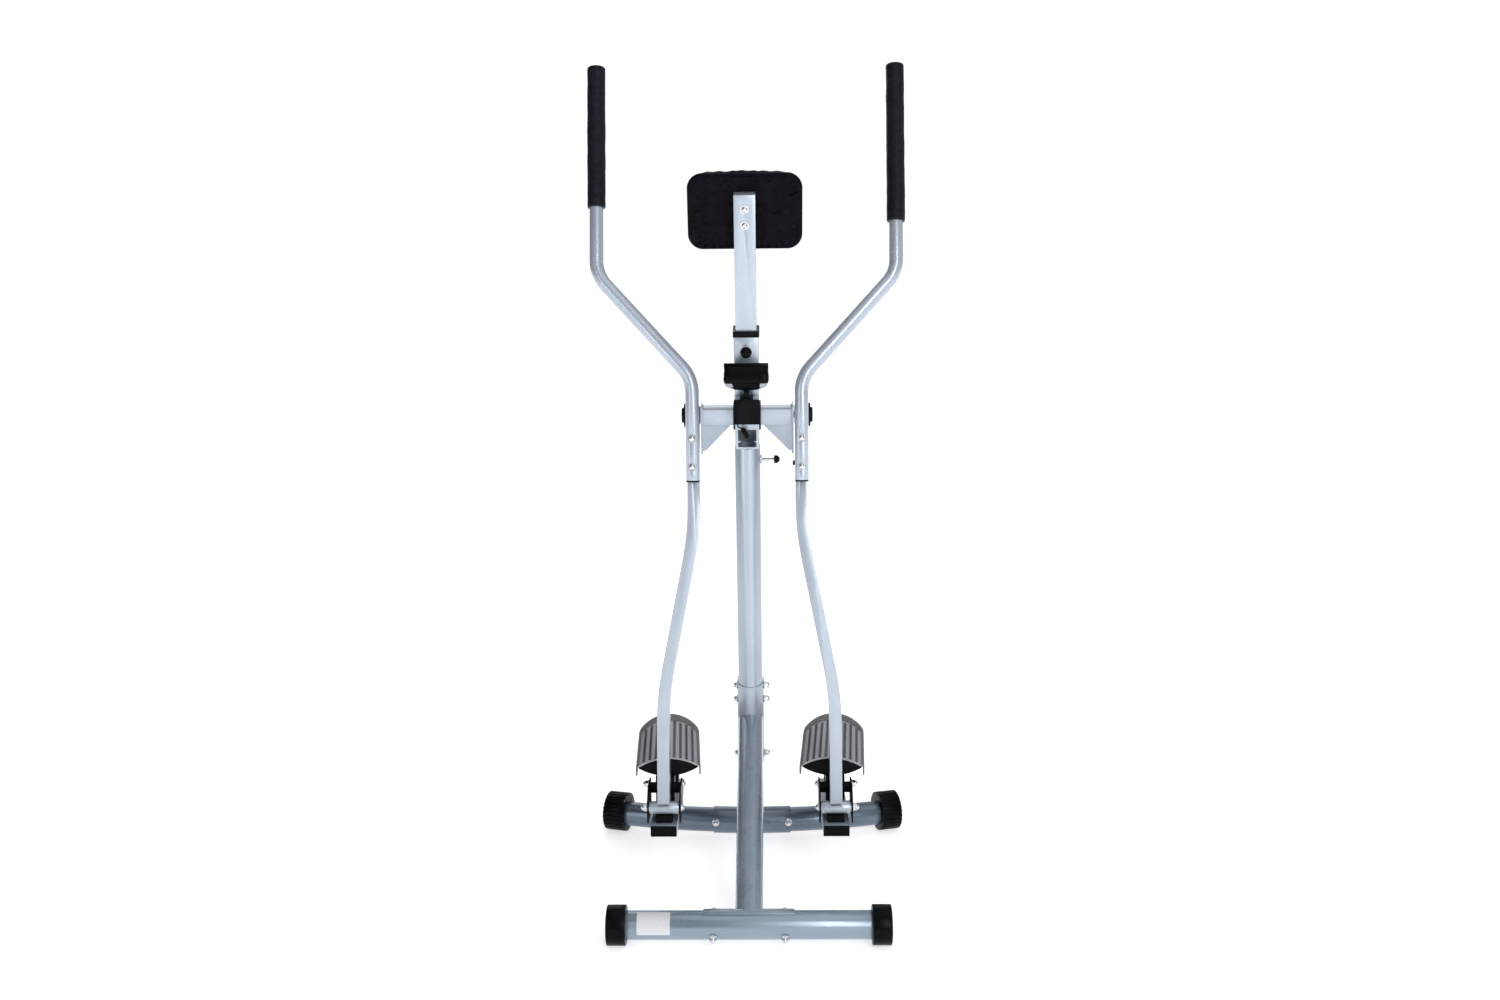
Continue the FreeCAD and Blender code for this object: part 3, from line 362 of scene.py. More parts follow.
class Finishes:
    """Every finish of the machine, made once."""

    def __init__(self) -> None:
        """Builds the materials."""
        silver: Colour = (0.42, 0.475, 0.55)
        slate: Colour = (0.37, 0.445, 0.53)
        self.silver = Paint("silver_coat", silver, (0.34, 0.39, 0.46), (0.62, 0.66, 0.72)).build()
        self.slate = Paint("slate_coat", slate, (0.24, 0.3, 0.375), (0.45, 0.53, 0.6),
                           roughness=0.26, streak=0.45, grain=(120.0, 120.0, 2.0)).build()
        along_x = (2.0, 120.0, 120.0)
        self.bar = Paint("slate_coat_bar", (0.275, 0.345, 0.42), (0.215, 0.28, 0.35), (0.35, 0.42, 0.5),
                         roughness=0.3, streak=0.3, grain=along_x).build()
        # A darker copy of the slate paint: painted shade on the rear base tube and on the post's saddle.
        self.deep = Paint("deep_slate_coat", (0.135, 0.18, 0.23), (0.07, 0.1, 0.135),
                          (0.2, 0.25, 0.31), roughness=0.28, streak=0.4, grain=along_x).build()
        self.bead = Paint("painted_weld", (0.5, 0.55, 0.62), (0.36, 0.4, 0.46), (0.7, 0.73, 0.78),
                          roughness=0.3).build()
        self.zinc = Metal("bright_zinc", (0.78, 0.79, 0.82)).build()
        self.gloss = Plastic("gloss_black", (0.0025, 0.0025, 0.004), 0.2, depth=0.05).build()
        self.black = Plastic("moulded_black", (0.003, 0.003, 0.0045), 0.34).build()
        self.cap = Plastic("cap_black", (0.002, 0.002, 0.003), 0.27, depth=0.1).build()
        self.bearing = Plastic("bearing_black", (0.02, 0.02, 0.022), 0.45).build()
        self.pale = Plastic("pale_grey", (0.34, 0.35, 0.385), 0.34, dust=0.25,
                            pale=(0.54, 0.56, 0.61), shine=0.4).build()
        self.rim = Plastic("taupe_grey", (0.1, 0.096, 0.1), 0.4, dust=0.3,
                           pale=(0.22, 0.215, 0.225), shine=0.3).build()
        self.hull = Plastic("hull_black", (0.003, 0.003, 0.0045), 0.38).build()
        self.yoke = Plastic("yoke_black", (0.004, 0.004, 0.006), 0.3, depth=0.12).build()
        self.rubber = Plastic("soft_rubber", (0.004, 0.004, 0.005), 0.62, grain=900.0, depth=0.3).build()
        self.lens = Plastic("lcd_window", (0.16, 0.18, 0.17), 0.1, depth=0.02, dust=0.08, shine=0.5).build()
        self.foam = FoamSkin("black_foam").build()
        self.vinyl = VinylSkin("black_vinyl").build()
        self.paper = Paper("blank_sticker").build()
        self.by_slot = {
            Slot.SILVER: self.silver, Slot.GREY: self.slate, Slot.ZINC: self.zinc,
            Slot.BLACK: self.black, Slot.PALE: self.pale, Slot.BEARING: self.bearing,
            Slot.FOAM: self.foam, Slot.VINYL: self.vinyl, Slot.BOARD: self.vinyl,
            Slot.RUBBER: self.rubber, Slot.DARK: self.hull, Slot.YOKE: self.yoke,
            Slot.LENS: self.lens, Slot.LABEL: self.paper, Slot.MAGNET: self.cap,
        }
        # The rear base tube takes the darker slate copy, its painted shade.
        self.by_node = {"front_base_tube": self.bar, "rear_base_tube": self.deep,
                        "height_knob": self.gloss, "monitor_bezel": self.gloss,
                        "front_end_caps": self.cap, "rear_cap_left": self.cap,
                        "rear_cap_right": self.cap}

    def of_node(self, node: str) -> bpy.types.Material:
        """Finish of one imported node."""
        return self.by_node.get(node, self.by_slot[SLOT_OF[node]])


# ---------------------------------------------------------------- making pieces


def by_mast(centre: Vector, x: float, off: float, up: float) -> Vector:
    """A point given from a centre in the mast's own directions."""
    return centre + ACROSS * x + OFF_MAST * off + UP_MAST * up


def link(name: str, data: bpy.types.ID) -> bpy.types.Object:
    """Puts new data in the scene as an object at the origin."""
    made = bpy.data.objects.new(name, data)
    bpy.context.scene.collection.objects.link(made)
    return made


def settle(piece: bpy.types.Object, body: str, stands_for: Sequence[str] = (),
           smooth: float = 40.0) -> bpy.types.Object:
    """Gives a finished mesh its shading, body and the nodes it stands for.

    Args:
        piece: object with its mesh already in place.
        body: body that it rides on.
        stands_for: nodes that it replaces.
        smooth: edges flatter than this are shaded smooth, in degrees.

    Returns:
        The piece.
    """
    piece.data.shade_smooth()
    piece.data.set_sharp_from_angle(angle=math.radians(smooth))
    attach(piece, body)
    if stands_for:
        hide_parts(*stands_for)
    LOG.info("%s on %s: %d faces", piece.name, body, len(piece.data.polygons))
    return piece


def baked(source: bpy.types.Object, name: str) -> bpy.types.Object:
    """Applies an object's modifiers into a new plain object and removes the old one."""
    bpy.context.view_layer.update()
    graph = bpy.context.evaluated_depsgraph_get()
    mesh = bpy.data.meshes.new_from_object(source.evaluated_get(graph), depsgraph=graph)
    bpy.data.objects.remove(source)
    mesh.name = name
    return link(name, mesh)


def from_bmesh(name: str, work: bmesh.types.BMesh, *finishes: bpy.types.Material,
               outward: bool = True) -> bpy.types.Object:
    """Turns a bmesh into an object with its finishes."""
    if outward:
        bmesh.ops.recalc_face_normals(work, faces=work.faces)
    mesh = bpy.data.meshes.new(name)
    work.to_mesh(mesh)
    work.free()
    for finish in finishes:
        mesh.materials.append(finish)
    return link(name, mesh)


def loft(work: bmesh.types.BMesh, loops: Sequence[list], capped: bool = True) -> list[bmesh.types.BMFace]:
    """Joins closed loops of points with quads.

    Args:
        work: mesh that holds the points.
        loops: closed loops, each with the same number of points.
        capped: whether one face closes each end.

    Returns:
        The quads, loop by loop.
    """
    quads = []
    for first, second in zip(loops, loops[1:]):
        for here, after in zip(range(-1, len(first) - 1), range(len(first))):
            quads.append(work.faces.new((first[here], first[after], second[after], second[here])))
    if capped:
        work.faces.new(loops[0])
        work.faces.new(loops[-1])
    return quads


def arc_radius(half: float, rise: float) -> float:
    """Radius of an arc from half its chord and its rise."""
    return (half ** 2 + rise ** 2) / (2 * rise)


def merged(node: str) -> bmesh.types.BMesh:
    """A node's mesh with its loose triangles merged and flat faces joined."""
    work = bmesh.new()
    work.from_mesh(frame["nodes"][node].data)
    bmesh.ops.remove_doubles(work, verts=work.verts, dist=2e-6)
    bmesh.ops.dissolve_limit(work, angle_limit=math.radians(0.6), verts=work.verts, edges=work.edges)
    return work


def is_closed(mesh: bpy.types.Mesh) -> bool:
    """Whether every edge of a mesh has two faces."""
    work = bmesh.new()
    work.from_mesh(mesh)
    closed = all(edge.is_manifold for edge in work.edges)
    work.free()
    return closed


def softened(node: str, finish: bpy.types.Material, width: float,
             second: bpy.types.Material | None = None,
             where: Callable[[Vector], bool] | None = None,
             recess: float = 0.0) -> bpy.types.Object | None:
    """Replaces a node by a copy whose sharp edges are rounded.

    Args:
        node: node to stand for.
        finish: material of the copy.
        width: bevel in millimetres.
        second: material of the faces that `where` picks.
        where: test of a face's centre.
        recess: width of the rim round the sunk front face, in millimetres.

    Returns:
        The new piece, or None where the node keeps its own mesh.
    """
    low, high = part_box(node)
    work = merged(node)
    if recess:
        face = max(work.faces, key=lambda item: item.calc_area() * (item.normal.dot(-OFF_MAST) > 0.9))
        bmesh.ops.inset_individual(work, faces=[face], thickness=recess * MM, depth=-0.5 * recess * MM)
    source = from_bmesh(node + "_draft", work, finish, outward=False)
    bevel = source.modifiers.new("edges", "BEVEL")
    bevel.width = width * MM
    bevel.segments = 2
    bevel.limit_method = "ANGLE"
    bevel.angle_limit = math.radians(38)
    piece = baked(source, node + "_soft")
    spots = [vertex.co for vertex in piece.data.vertices]
    slack = 0.3 * MM
    inside = all(low[i] - slack <= spot[i] <= high[i] + slack for spot in spots for i in range(3))
    if not (inside and is_closed(piece.data)):
        bpy.data.objects.remove(piece)
        LOG.info("%s keeps its own mesh", node)
        return None
    if second and where:
        piece.data.materials.append(second)
        for face in piece.data.polygons:
            face.material_index = int(where(face.center))
    return settle(piece, frame["nodes"][node]["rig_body"], [node], smooth=32.0)


def dress_frame(finishes: Finishes) -> None:
    """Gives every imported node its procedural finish."""
    for node, entry in frame["nodes"].items():
        for place in entry.material_slots:
            place.material = finishes.of_node(node)


# ---------------------------------------------------------------- studio


@dataclass
class Studio:
    """Camera, pale floor and soft light."""

    focal: float = 33.7
    stand: Vector = Vector((0.0415, -2.585, 1.1627))
    pitch: float = 9.1
    yaw: float = 0.827
    roll: float = -0.497
    floor_half: float = 14.0
    glow: tuple[float, float] = (0.6, 1.0)
    backdrop: float = 1.05
    room: float = 0.62
    room_tones: tuple[tuple[float, float], ...] = ((0.3, 0.2), (0.5, 0.62), (0.62, 0.95), (0.8, 0.55))

    def camera(self) -> None:
        """Makes the camera."""
        data = bpy.data.cameras.new("view")
        data.sensor_width = 36.0
        data.lens = self.focal
        data.clip_start = 0.05
        data.clip_end = 60.0
        piece = link("view", data)
        turn = (Matrix.Rotation(math.radians(self.yaw), 4, "Z")
                @ Matrix.Rotation(math.radians(90.0 - self.pitch), 4, "X")
                @ Matrix.Rotation(math.radians(self.roll), 4, "Z"))
        piece.matrix_world = Matrix.Translation(self.stand) @ turn
        bpy.context.scene.camera = piece

    def floor(self) -> None:
        """Makes the plain floor."""
        g = Graph("studio_floor", (0.86, 0.86, 0.865), 0.6)
        g.constants(Specular_IOR_Level=0.1)
        g.shader.inputs["Emission Color"].default_value = (1.0, 1.0, 1.0, 1.0)
        away = g.add("ShaderNodeVectorMath", {0: g.place}, operation="LENGTH")
        near, far = self.glow
        g.put(g.spread(away.outputs["Value"], near, far, 0.35, 1.6), g.shader.inputs["Emission Strength"])
        tone = g.tint(g.noise(3.0, 2.0), (0.85, 0.85, 0.855), (0.88, 0.88, 0.885))
        work = bmesh.new()
        bmesh.ops.create_grid(work, x_segments=1, y_segments=1, size=self.floor_half)
        piece = from_bmesh("studio_floor", work, g.finish(tone))

    def lamp(self, name: str, at: Sequence[float], aim: Sequence[float], size: Sequence[float],
             power: float) -> None:
        """Makes one soft area light."""
        data = bpy.data.lights.new(name, "AREA")
        data.shape = "RECTANGLE"
        data.size, data.size_y = size
        data.energy = power
        piece = link(name, data)
        piece.location = at
        piece.rotation_euler = (Vector(aim) - Vector(at)).to_track_quat("-Z", "Y").to_euler()

    def sky(self) -> None:
        """Makes the white surround, darker to the sides as a studio is."""
        world = bpy.data.worlds.new("studio")
        world.use_nodes = True
        bpy.context.scene.world = world
        g = Maker(world.node_tree)
        g.tree.nodes.clear()
        split = g.add("ShaderNodeSeparateXYZ", {"Vector": g.add("ShaderNodeTexCoord").outputs["Generated"]})
        turn = g.add("ShaderNodeMapRange", {"Value": split.outputs["X"], "From Min": -1.0, "From Max": 1.0})
        ramp = g.add("ShaderNodeValToRGB", {"Fac": turn.outputs["Result"]})
        points = ramp.color_ramp.elements
        points[0].color = (0.16, 0.17, 0.19, 1.0)
        points[1].color = (1.0, 1.0, 1.0, 1.0)
        for place, tone in self.room_tones:
            points.new(place).color = (tone, tone, tone * 1.02, 1.0)
        room = g.add("ShaderNodeBackground", {"Color": ramp.outputs["Color"], "Strength": self.room})
        white = g.add("ShaderNodeBackground", {"Color": (1.0, 1.0, 1.0, 1.0), "Strength": self.backdrop})
        seen = g.add("ShaderNodeLightPath").outputs["Is Camera Ray"]
        mix = g.add("ShaderNodeMixShader", {"Fac": seen, 1: room.outputs["Background"],
                                            2: white.outputs["Background"]})
        g.add("ShaderNodeOutputWorld", {"Surface": mix.outputs["Shader"]})

    def build(self) -> None:
        """Makes everything but the camera."""
        scene = bpy.context.scene
        scene.view_settings.view_transform = "Standard"
        scene.view_settings.look = "None"
        self.floor()
        self.sky()
        self.lamp("over", (0.2, -0.4, 3.6), (0.0, 0.0, 0.5), (3.2, 3.2), 22.0)
        self.lamp("front", (1.2, -3.2, 1.9), (0.0, 0.0, 0.7), (0.9, 2.4), 46.0)
        self.lamp("fill", (-1.9, -2.4, 1.2), (0.0, 0.0, 0.6), (0.6, 1.8), 12.0)
        self.lamp("back", (-0.8, 3.0, 2.2), (0.0, 0.0, 0.8), (2.4, 1.6), 16.0)
        LOG.info("studio")


# ---------------------------------------------------------------- sensor lead


@dataclass
class SensorLead:
    """Thin lead from the monitor's foot to its connector at the head tube."""

    diameter: float = 0.0026
    length: float = 0.0966
    route: tuple[tuple[float, float, float], ...] = (
        (-0.007, -0.03984, 0.94087), (-0.0073, -0.04811, 0.94262), (-0.0088, -0.05423, 0.9388),
        (-0.0113, -0.05618, 0.93141), (-0.0142, -0.0544, 0.9234), (-0.0166, -0.05072, 0.91418),
        (-0.0178, -0.04565, 0.90424), (-0.0174, -0.03936, 0.89437), (-0.0154, -0.0308, 0.88807),
        (-0.0124, -0.02056, 0.88625), (-0.009, -0.01101, 0.88386))

    def build(self, finishes: Finishes) -> None:
        """Makes the lead as a free curve."""
        data = bpy.data.curves.new("sensor_lead_curve", "CURVE")
        data.dimensions = "3D"
        spline = data.splines.new("NURBS")
        spline.points.add(len(self.route) - 1)
        for point, spot in zip(spline.points, self.route):
            point.co = (*spot, 1.0)
        spline.order_u = 3
        spline.use_endpoint_u = True
        data.resolution_u = 10
        data.bevel_depth = self.diameter / 2
        data.bevel_resolution = 5
        data.use_fill_caps = True
        data.materials.append(finishes.rubber)
        piece = link("sensor_cable", data)
        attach(piece, "frame")
        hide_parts("sensor_lead")
        LOG.info("sensor cable")


# ---------------------------------------------------------------- repeated details


class Shape(Enum):
    """What a repeated detail looks like."""

    SLOT = "slot"
    BEAD = "bead"


@dataclass
class Repeater:
    """Geometry Nodes tree that sets one small shape on every point it is given."""

    shape: Shape
    finish: bpy.types.Material
    across: float
    along: float
    tall: float
    edge: bpy.types.Material | None = None
    uneven: float = 0.0
    seed: int = 7

    def tree(self) -> bpy.types.NodeTree:
        """Builds the tree with its named inputs."""
        made = bpy.data.node_groups.new(self.shape.value + "_tree", "GeometryNodeTree")
        for way in ("INPUT", "OUTPUT"):
            made.interface.new_socket("Geometry", in_out=way, socket_type="NodeSocketGeometry")
        for name in ("across", "along", "tall", "uneven"):
            socket = made.interface.new_socket(name, in_out="INPUT", socket_type="NodeSocketFloat")
            socket.default_value = getattr(self, name)
        g = Maker(made)
        start = g.add("NodeGroupInput").outputs
        join = g.add("GeometryNodeJoinGeometry")
        for part, finish in self.parts(g):
            coat = g.add("GeometryNodeSetMaterial", {"Geometry": part, "Material": finish})
            g.put(coat.outputs["Geometry"], join.inputs["Geometry"])
        size = g.add("ShaderNodeCombineXYZ", {"X": start["along"], "Y": start["across"], "Z": start["tall"]})
        turn_up = g.add("FunctionNodeAlignRotationToVector", {"Vector": self.named(g, "up")}, axis="Z")
        turn_on = g.add("FunctionNodeAlignRotationToVector",
                        {"Rotation": turn_up.outputs["Rotation"], "Vector": self.named(g, "way")},
                        axis="X", pivot_axis="Z")
        least = g.add("ShaderNodeMath", {0: 1.0, 1: start["uneven"]}, operation="SUBTRACT")
        uneven = g.add("FunctionNodeRandomValue", {"Seed": self.seed, 2: least.outputs[0], 3: 1.0})
        scale = g.add("ShaderNodeVectorMath", {0: size.outputs["Vector"], "Scale": uneven.outputs[1]},
                      operation="SCALE")
        spots = g.add("GeometryNodeInstanceOnPoints",
                      {"Points": start["Geometry"], "Instance": join.outputs["Geometry"],
                       "Rotation": turn_on.outputs["Rotation"], "Scale": scale.outputs["Vector"]})
        real = g.add("GeometryNodeRealizeInstances", {"Geometry": spots.outputs["Instances"]})
        g.add("NodeGroupOutput", {"Geometry": real.outputs["Geometry"]})
        return made

    @staticmethod
    def named(g: Maker, name: str) -> bpy.types.NodeSocket:
        """Reads a stored vector attribute."""
        made = g.add("GeometryNodeInputNamedAttribute", {"Name": name}, data_type="FLOAT_VECTOR")
        return next(socket for socket in made.outputs if socket.enabled and socket.type == "VECTOR")

    def parts(self, g: Maker) -> list[tuple[bpy.types.NodeSocket, bpy.types.Material]]:
        """Unit shapes of one detail and their materials."""
        if self.shape is Shape.BEAD:
            ball = g.add("GeometryNodeMeshUVSphere", {"Segments": 8, "Rings": 5, "Radius": 0.5})
            return [(ball.outputs["Mesh"], self.finish)]
        # The black floor in each slot stands in for the open hole: painted shade, over the black hull that
        # lies below.
        floor = g.add("GeometryNodeMeshCylinder", {"Vertices": 12, "Radius": 0.46, "Depth": 0.9})
        ring = g.add("GeometryNodeCurvePrimitiveCircle", {"Resolution": 12, "Radius": 0.5})
        lip = g.add("GeometryNodeCurvePrimitiveCircle", {"Resolution": 5, "Radius": 0.05})
        tube = g.add("GeometryNodeCurveToMesh", {"Curve": ring.outputs["Curve"],
                                                 "Profile Curve": lip.outputs["Curve"]})
        thick = g.add("GeometryNodeTransform", {"Geometry": tube.outputs["Mesh"], "Scale": (1.0, 1.0, 9.0)})
        return [(floor.outputs["Mesh"], self.finish), (thick.outputs["Geometry"], self.edge)]

    def place(self, name: str, spots: Sequence[tuple[Vector, Vector, Vector]]) -> bpy.types.Object:
        """Sets the shape on every spot.

        Args:
            name: name of the finished piece.
            spots: place, outward normal and direction of each one.

        Returns:
            The finished mesh object.
        """
        mesh = bpy.data.meshes.new(name + "_spots")
        mesh.from_pydata([spot for spot, _, _ in spots], [], [])
        for word, index in (("up", 1), ("way", 2)):
            layer = mesh.attributes.new(word, "FLOAT_VECTOR", "POINT")
            layer.data.foreach_set("vector", [part for spot in spots for part in spot[index]])
        source = link(name + "_spots", mesh)
        change = source.modifiers.new("repeat", "NODES")
        change.node_group = self.tree()
        return baked(source, name)


def run_between(start: Vector, end: Vector, normal: Vector, pitch: float) -> list:
    """Evenly spaced spots on a straight run."""
    count = max(2, round((end - start).length / pitch) + 1)
    way = (end - start).normalized()
    return [(start.lerp(end, index / (count - 1)), normal, way) for index in range(count)]


# ---------------------------------------------------------------- chest rest


def rounded_outline(half_x: float, half_z: float, corner: float, count: int) -> list[tuple[float, float]]:
    """Points at even steps round a rounded rectangle, anticlockwise."""
    straight_x, straight_z = half_x - corner, half_z - corner
    quarter = math.pi / 2 * corner
    legs = [2 * straight_z, quarter, 2 * straight_x, quarter] * 2
    total = sum(legs)
    points = []
    for index in range(count):
        run = total * index / count
        leg = 0
        while run > legs[leg]:
            run -= legs[leg]
            leg += 1
        quadrant, turning = divmod(leg, 2)
        if turning:
            angle = quadrant * math.pi / 2 + run / corner
            cx = straight_x if quadrant in (0, 3) else -straight_x
            cz = straight_z if quadrant in (0, 1) else -straight_z
            points.append((cx + corner * math.cos(angle), cz + corner * math.sin(angle)))
        else:
            points.append({0: (half_x, -straight_z + run), 1: (straight_x - run, half_z),
                           2: (-half_x, straight_z - run), 3: (-straight_x + run, -half_z)}[quadrant])
    return points


@dataclass
class ChestRest:
    """Stuffed cushion and the vinyl that is gathered over its board."""

    half_across: float = 0.104
    half_high: float = 0.069
    half_deep: float = 0.0207
    corner: float = 0.027
    profile: tuple[tuple[float, float], ...] = (
        (-1.0, 0.9), (-0.85, 1.0), (0.0, 1.0), (0.7, 0.97), (0.94, 0.86), (1.0, 0.7))
    cushion_share: tuple[float, float] = (0.97, 0.96)
    board_share: tuple[float, float] = (0.985, 0.975)
    outline_points: int = 72
    back_points: int = 300
    back_rings: int = 30
    back_flat: float = 0.0022
    ring_crowding: float = 1.35
    voxel: float = 0.005
    pressure: float = 4.0
    most_swell: float = 0.0075
    last_frame: int = 20
    gathers: float = 34.0

    def cushion(self, finishes: Finishes) -> bpy.types.Object:
        """Swells the cushion by cloth pressure, then creases its edge."""
        centre = middle("pad_cushion")
        work = bmesh.new()
        share_x, share_z = self.cushion_share
        loops = []
        for depth, grow in self.profile:
            half_x, half_z = self.half_across * grow * share_x, self.half_high * (grow * 1.1 - 0.1) * share_z
            ring = rounded_outline(half_x, half_z, self.corner * grow, self.outline_points)
            loops.append([work.verts.new(by_mast(centre, x, depth * self.half_deep, z)) for x, z in ring])
        loft(work, loops)
        piece = from_bmesh("chest_cushion", work, finishes.vinyl)
        remesh = piece.modifiers.new("voxels", "REMESH")
        remesh.mode = "VOXEL"
        remesh.voxel_size = self.voxel
        piece = baked(piece, "chest_cushion")
        piece = self.swell(piece, centre)
        self.crease(piece, centre)
        smooth = piece.modifiers.new("smooth", "SUBSURF")
        smooth.levels = smooth.render_levels = 1
        piece = baked(piece, "chest_cushion")
        piece.data.materials.clear()
        piece.data.materials.append(finishes.vinyl)
        settle(piece, "pad", ["pad_cushion"], smooth=180.0)
        return piece

    def swell(self, piece: bpy.types.Object, centre: Vector) -> bpy.types.Object:
        """Runs the pressure simulation and caps how far each point moves."""
        start = [vertex.co.copy() for vertex in piece.data.vertices]
        held = piece.vertex_groups.new(name="held")
        back = [vertex.index for vertex in piece.data.vertices
                if (vertex.co - centre).dot(OFF_MAST) < -0.85 * self.half_deep]
        held.add(back, 1.0, "REPLACE")
        change = piece.modifiers.new("swell", "CLOTH")
        cloth = change.settings
        cloth.use_pressure = True
        cloth.uniform_pressure_force = self.pressure
        cloth.vertex_group_mass = "held"
        cloth.effector_weights.gravity = 0.0
        cloth.quality = 6
        change.point_cache.frame_start = 1
        change.point_cache.frame_end = self.last_frame
        for number in range(1, self.last_frame + 1):
            bpy.context.scene.frame_set(number)
        piece = baked(piece, "chest_cushion")
        for vertex, home in zip(piece.data.vertices, start):
            move = vertex.co - home
            if move.length > self.most_swell:
                vertex.co = home + move.normalized() * self.most_swell
        bpy.context.scene.frame_set(1)
        return piece

    def crease(self, piece: bpy.types.Object, centre: Vector) -> None:
        """Presses small gathers into the cushion's side wall, deepest at the corners."""
        for vertex in piece.data.vertices:
            offset = vertex.co - centre
            x, up = offset.dot(ACROSS), offset.dot(UP_MAST)
            edge = max(abs(x) / self.half_across, abs(up) / self.half_high)
            side = max(0.0, min(1.0, (edge - 0.86) / 0.1))
            round_way = math.atan2(up * 1.5, x)
            fold = math.sin(round_way * self.gathers + 3.0 * smooth_noise(offset * 40.0))
            vertex.co -= vertex.normal * side * 0.0009 * (1.0 + fold)
            vertex.co += vertex.normal * 0.0012 * smooth_noise(offset * 28.0)

    def back(self, finishes: Finishes) -> None:
        """Wraps the board in vinyl, wrinkled inside and rolled and puckered round its edge."""
        centre = middle("pad_board")
        work = bmesh.new()
        share_x, share_z = self.board_share
        outline = rounded_outline(self.half_across * share_x, self.half_high * share_z, self.corner,
                                  self.back_points)
        hem = [work.verts.new(by_mast(centre, x, 0.0, z)) for x, z in outline]
        for face in (-1.0, 1.0):
            loops = []
            for ring in range(1, self.back_rings):
                inward = 1.0 - (1.0 - ring / self.back_rings) ** self.ring_crowding
                loop = []
                for index, (x, z) in enumerate(outline):
                    x, z = x * inward, z * inward
                    height = self.back_flat
                    if face < 0:
                        height += self.relief(x, z, inward, index / self.back_points)
                    loop.append(work.verts.new(by_mast(centre, x, face * height, z)))
                loops.append(loop)
            pole = work.verts.new(by_mast(centre, 0.0, face * self.back_flat, 0.0))
            for first, second in zip(loops[0], loops[0][1:] + loops[0][:1]):
                work.faces.new((pole, first, second))
            loft(work, loops + [hem], capped=False)
        piece = from_bmesh("chest_rest_back", work, finishes.vinyl)
        settle(piece, "pad", ["pad_board"], smooth=180.0)

    def relief(self, x: float, z: float, inward: float, turn: float) -> float:
        """Height of the wrapped back's wrinkles and rolled hem."""
        roll = math.exp(-((inward - 0.95) / 0.032) ** 2)
        pucker = math.sin(turn * math.tau * 46.0 + 5.0 * smooth_noise(Vector((x * 22.0, z * 22.0, 1.0))))
        pucker *= 0.6 + 0.6 * smooth_noise(Vector((x * 60.0, z * 60.0, 4.0)))
        spread = math.exp(-((inward - 0.88) / 0.1) ** 2)
        wrinkle = smooth_noise(Vector((x * 38.0, z * 55.0, 2.0))) ** 2 * 0.005
        wrinkle += abs(smooth_noise(Vector((x * 90.0, z * 70.0, 7.0)))) * 0.0012
        under_post = 1.0 if abs(x) > 0.03 else max(0.0, (abs(x) - 0.019) / 0.011)
        return 0.0032 * roll + 0.0011 * pucker * spread + wrinkle * under_post * (inward < 0.9)

    def build(self, finishes: Finishes) -> None:
        """Makes the whole rest."""
        self.cushion(finishes)
        self.back(finishes)


# ---------------------------------------------------------------- arms


@dataclass
class FoamGrip:
    """Foam sleeve with a faintly uneven wall, pushed over the handle."""

    side: Side
    lip: float = 0.0022
    unevenness: float = 0.0007
    turns: int = 56
    steps: int = 60
    end_reach: float = 0.05

    def build(self, finishes: Finishes) -> None:
        """Makes the sleeve."""
        node = "grip_" + self.side.word
        spots = [vertex.co for vertex in frame["nodes"][node].data.vertices]
        centre = sum(spots, Vector()) / len(spots)
        ends = []
        for pick in (min, max):
            tip = pick(spots, key=lambda spot: spot.z)
            near = [spot for spot in spots if (spot - tip).length < self.end_reach]
            ends.append(sum(near, Vector()) / len(near))
        axis = (ends[1] - ends[0]).normalized()
        runs = [(spot - centre).dot(axis) for spot in spots]
        radius = max(((spot - centre) - axis * run).length for spot, run in zip(spots, runs))
        first = axis.orthogonal().normalized()
        second = axis.cross(first)
        start, end, lip = min(runs), max(runs), self.lip
        rows = [(start, 0.7), (start, 0.86), (start + 0.2 * lip, 0.95), (start + lip, 1.0)]
        rows += [(start + lip + (end - start - 2 * lip) * step / self.steps, 1.0)
                 for step in range(1, self.steps)]
        rows += [(end - lip, 1.0), (end - 0.35 * lip, 0.95), (end, 0.84), (end, 0.5), (end - 0.0006, 0.2)]
        work = bmesh.new()
        loops = []
        for run, share in rows:
            loop = []
            for index in range(self.turns):
                angle = math.tau * index / self.turns
                out = first * math.cos(angle) + second * math.sin(angle)
                wave = smooth_noise(Vector((run * 30.0, out.x * 0.8, out.y * 0.8 + self.side.value)))
                wave += 0.5 * smooth_noise(Vector((run * 90.0, out.x * 1.7, out.y * 1.7)))
                thick = (radius - self.unevenness) * share + self.unevenness * wave * (share > 0.99)
                loop.append(work.verts.new(centre + axis * run + out * thick))
            loops.append(loop)
        loft(work, loops)
        piece = from_bmesh("foam_sleeve_" + self.side.word, work, finishes.foam)
        settle(piece, self.side.word + "_arm", [node], smooth=55.0)


# ---------------------------------------------------------------- pedals


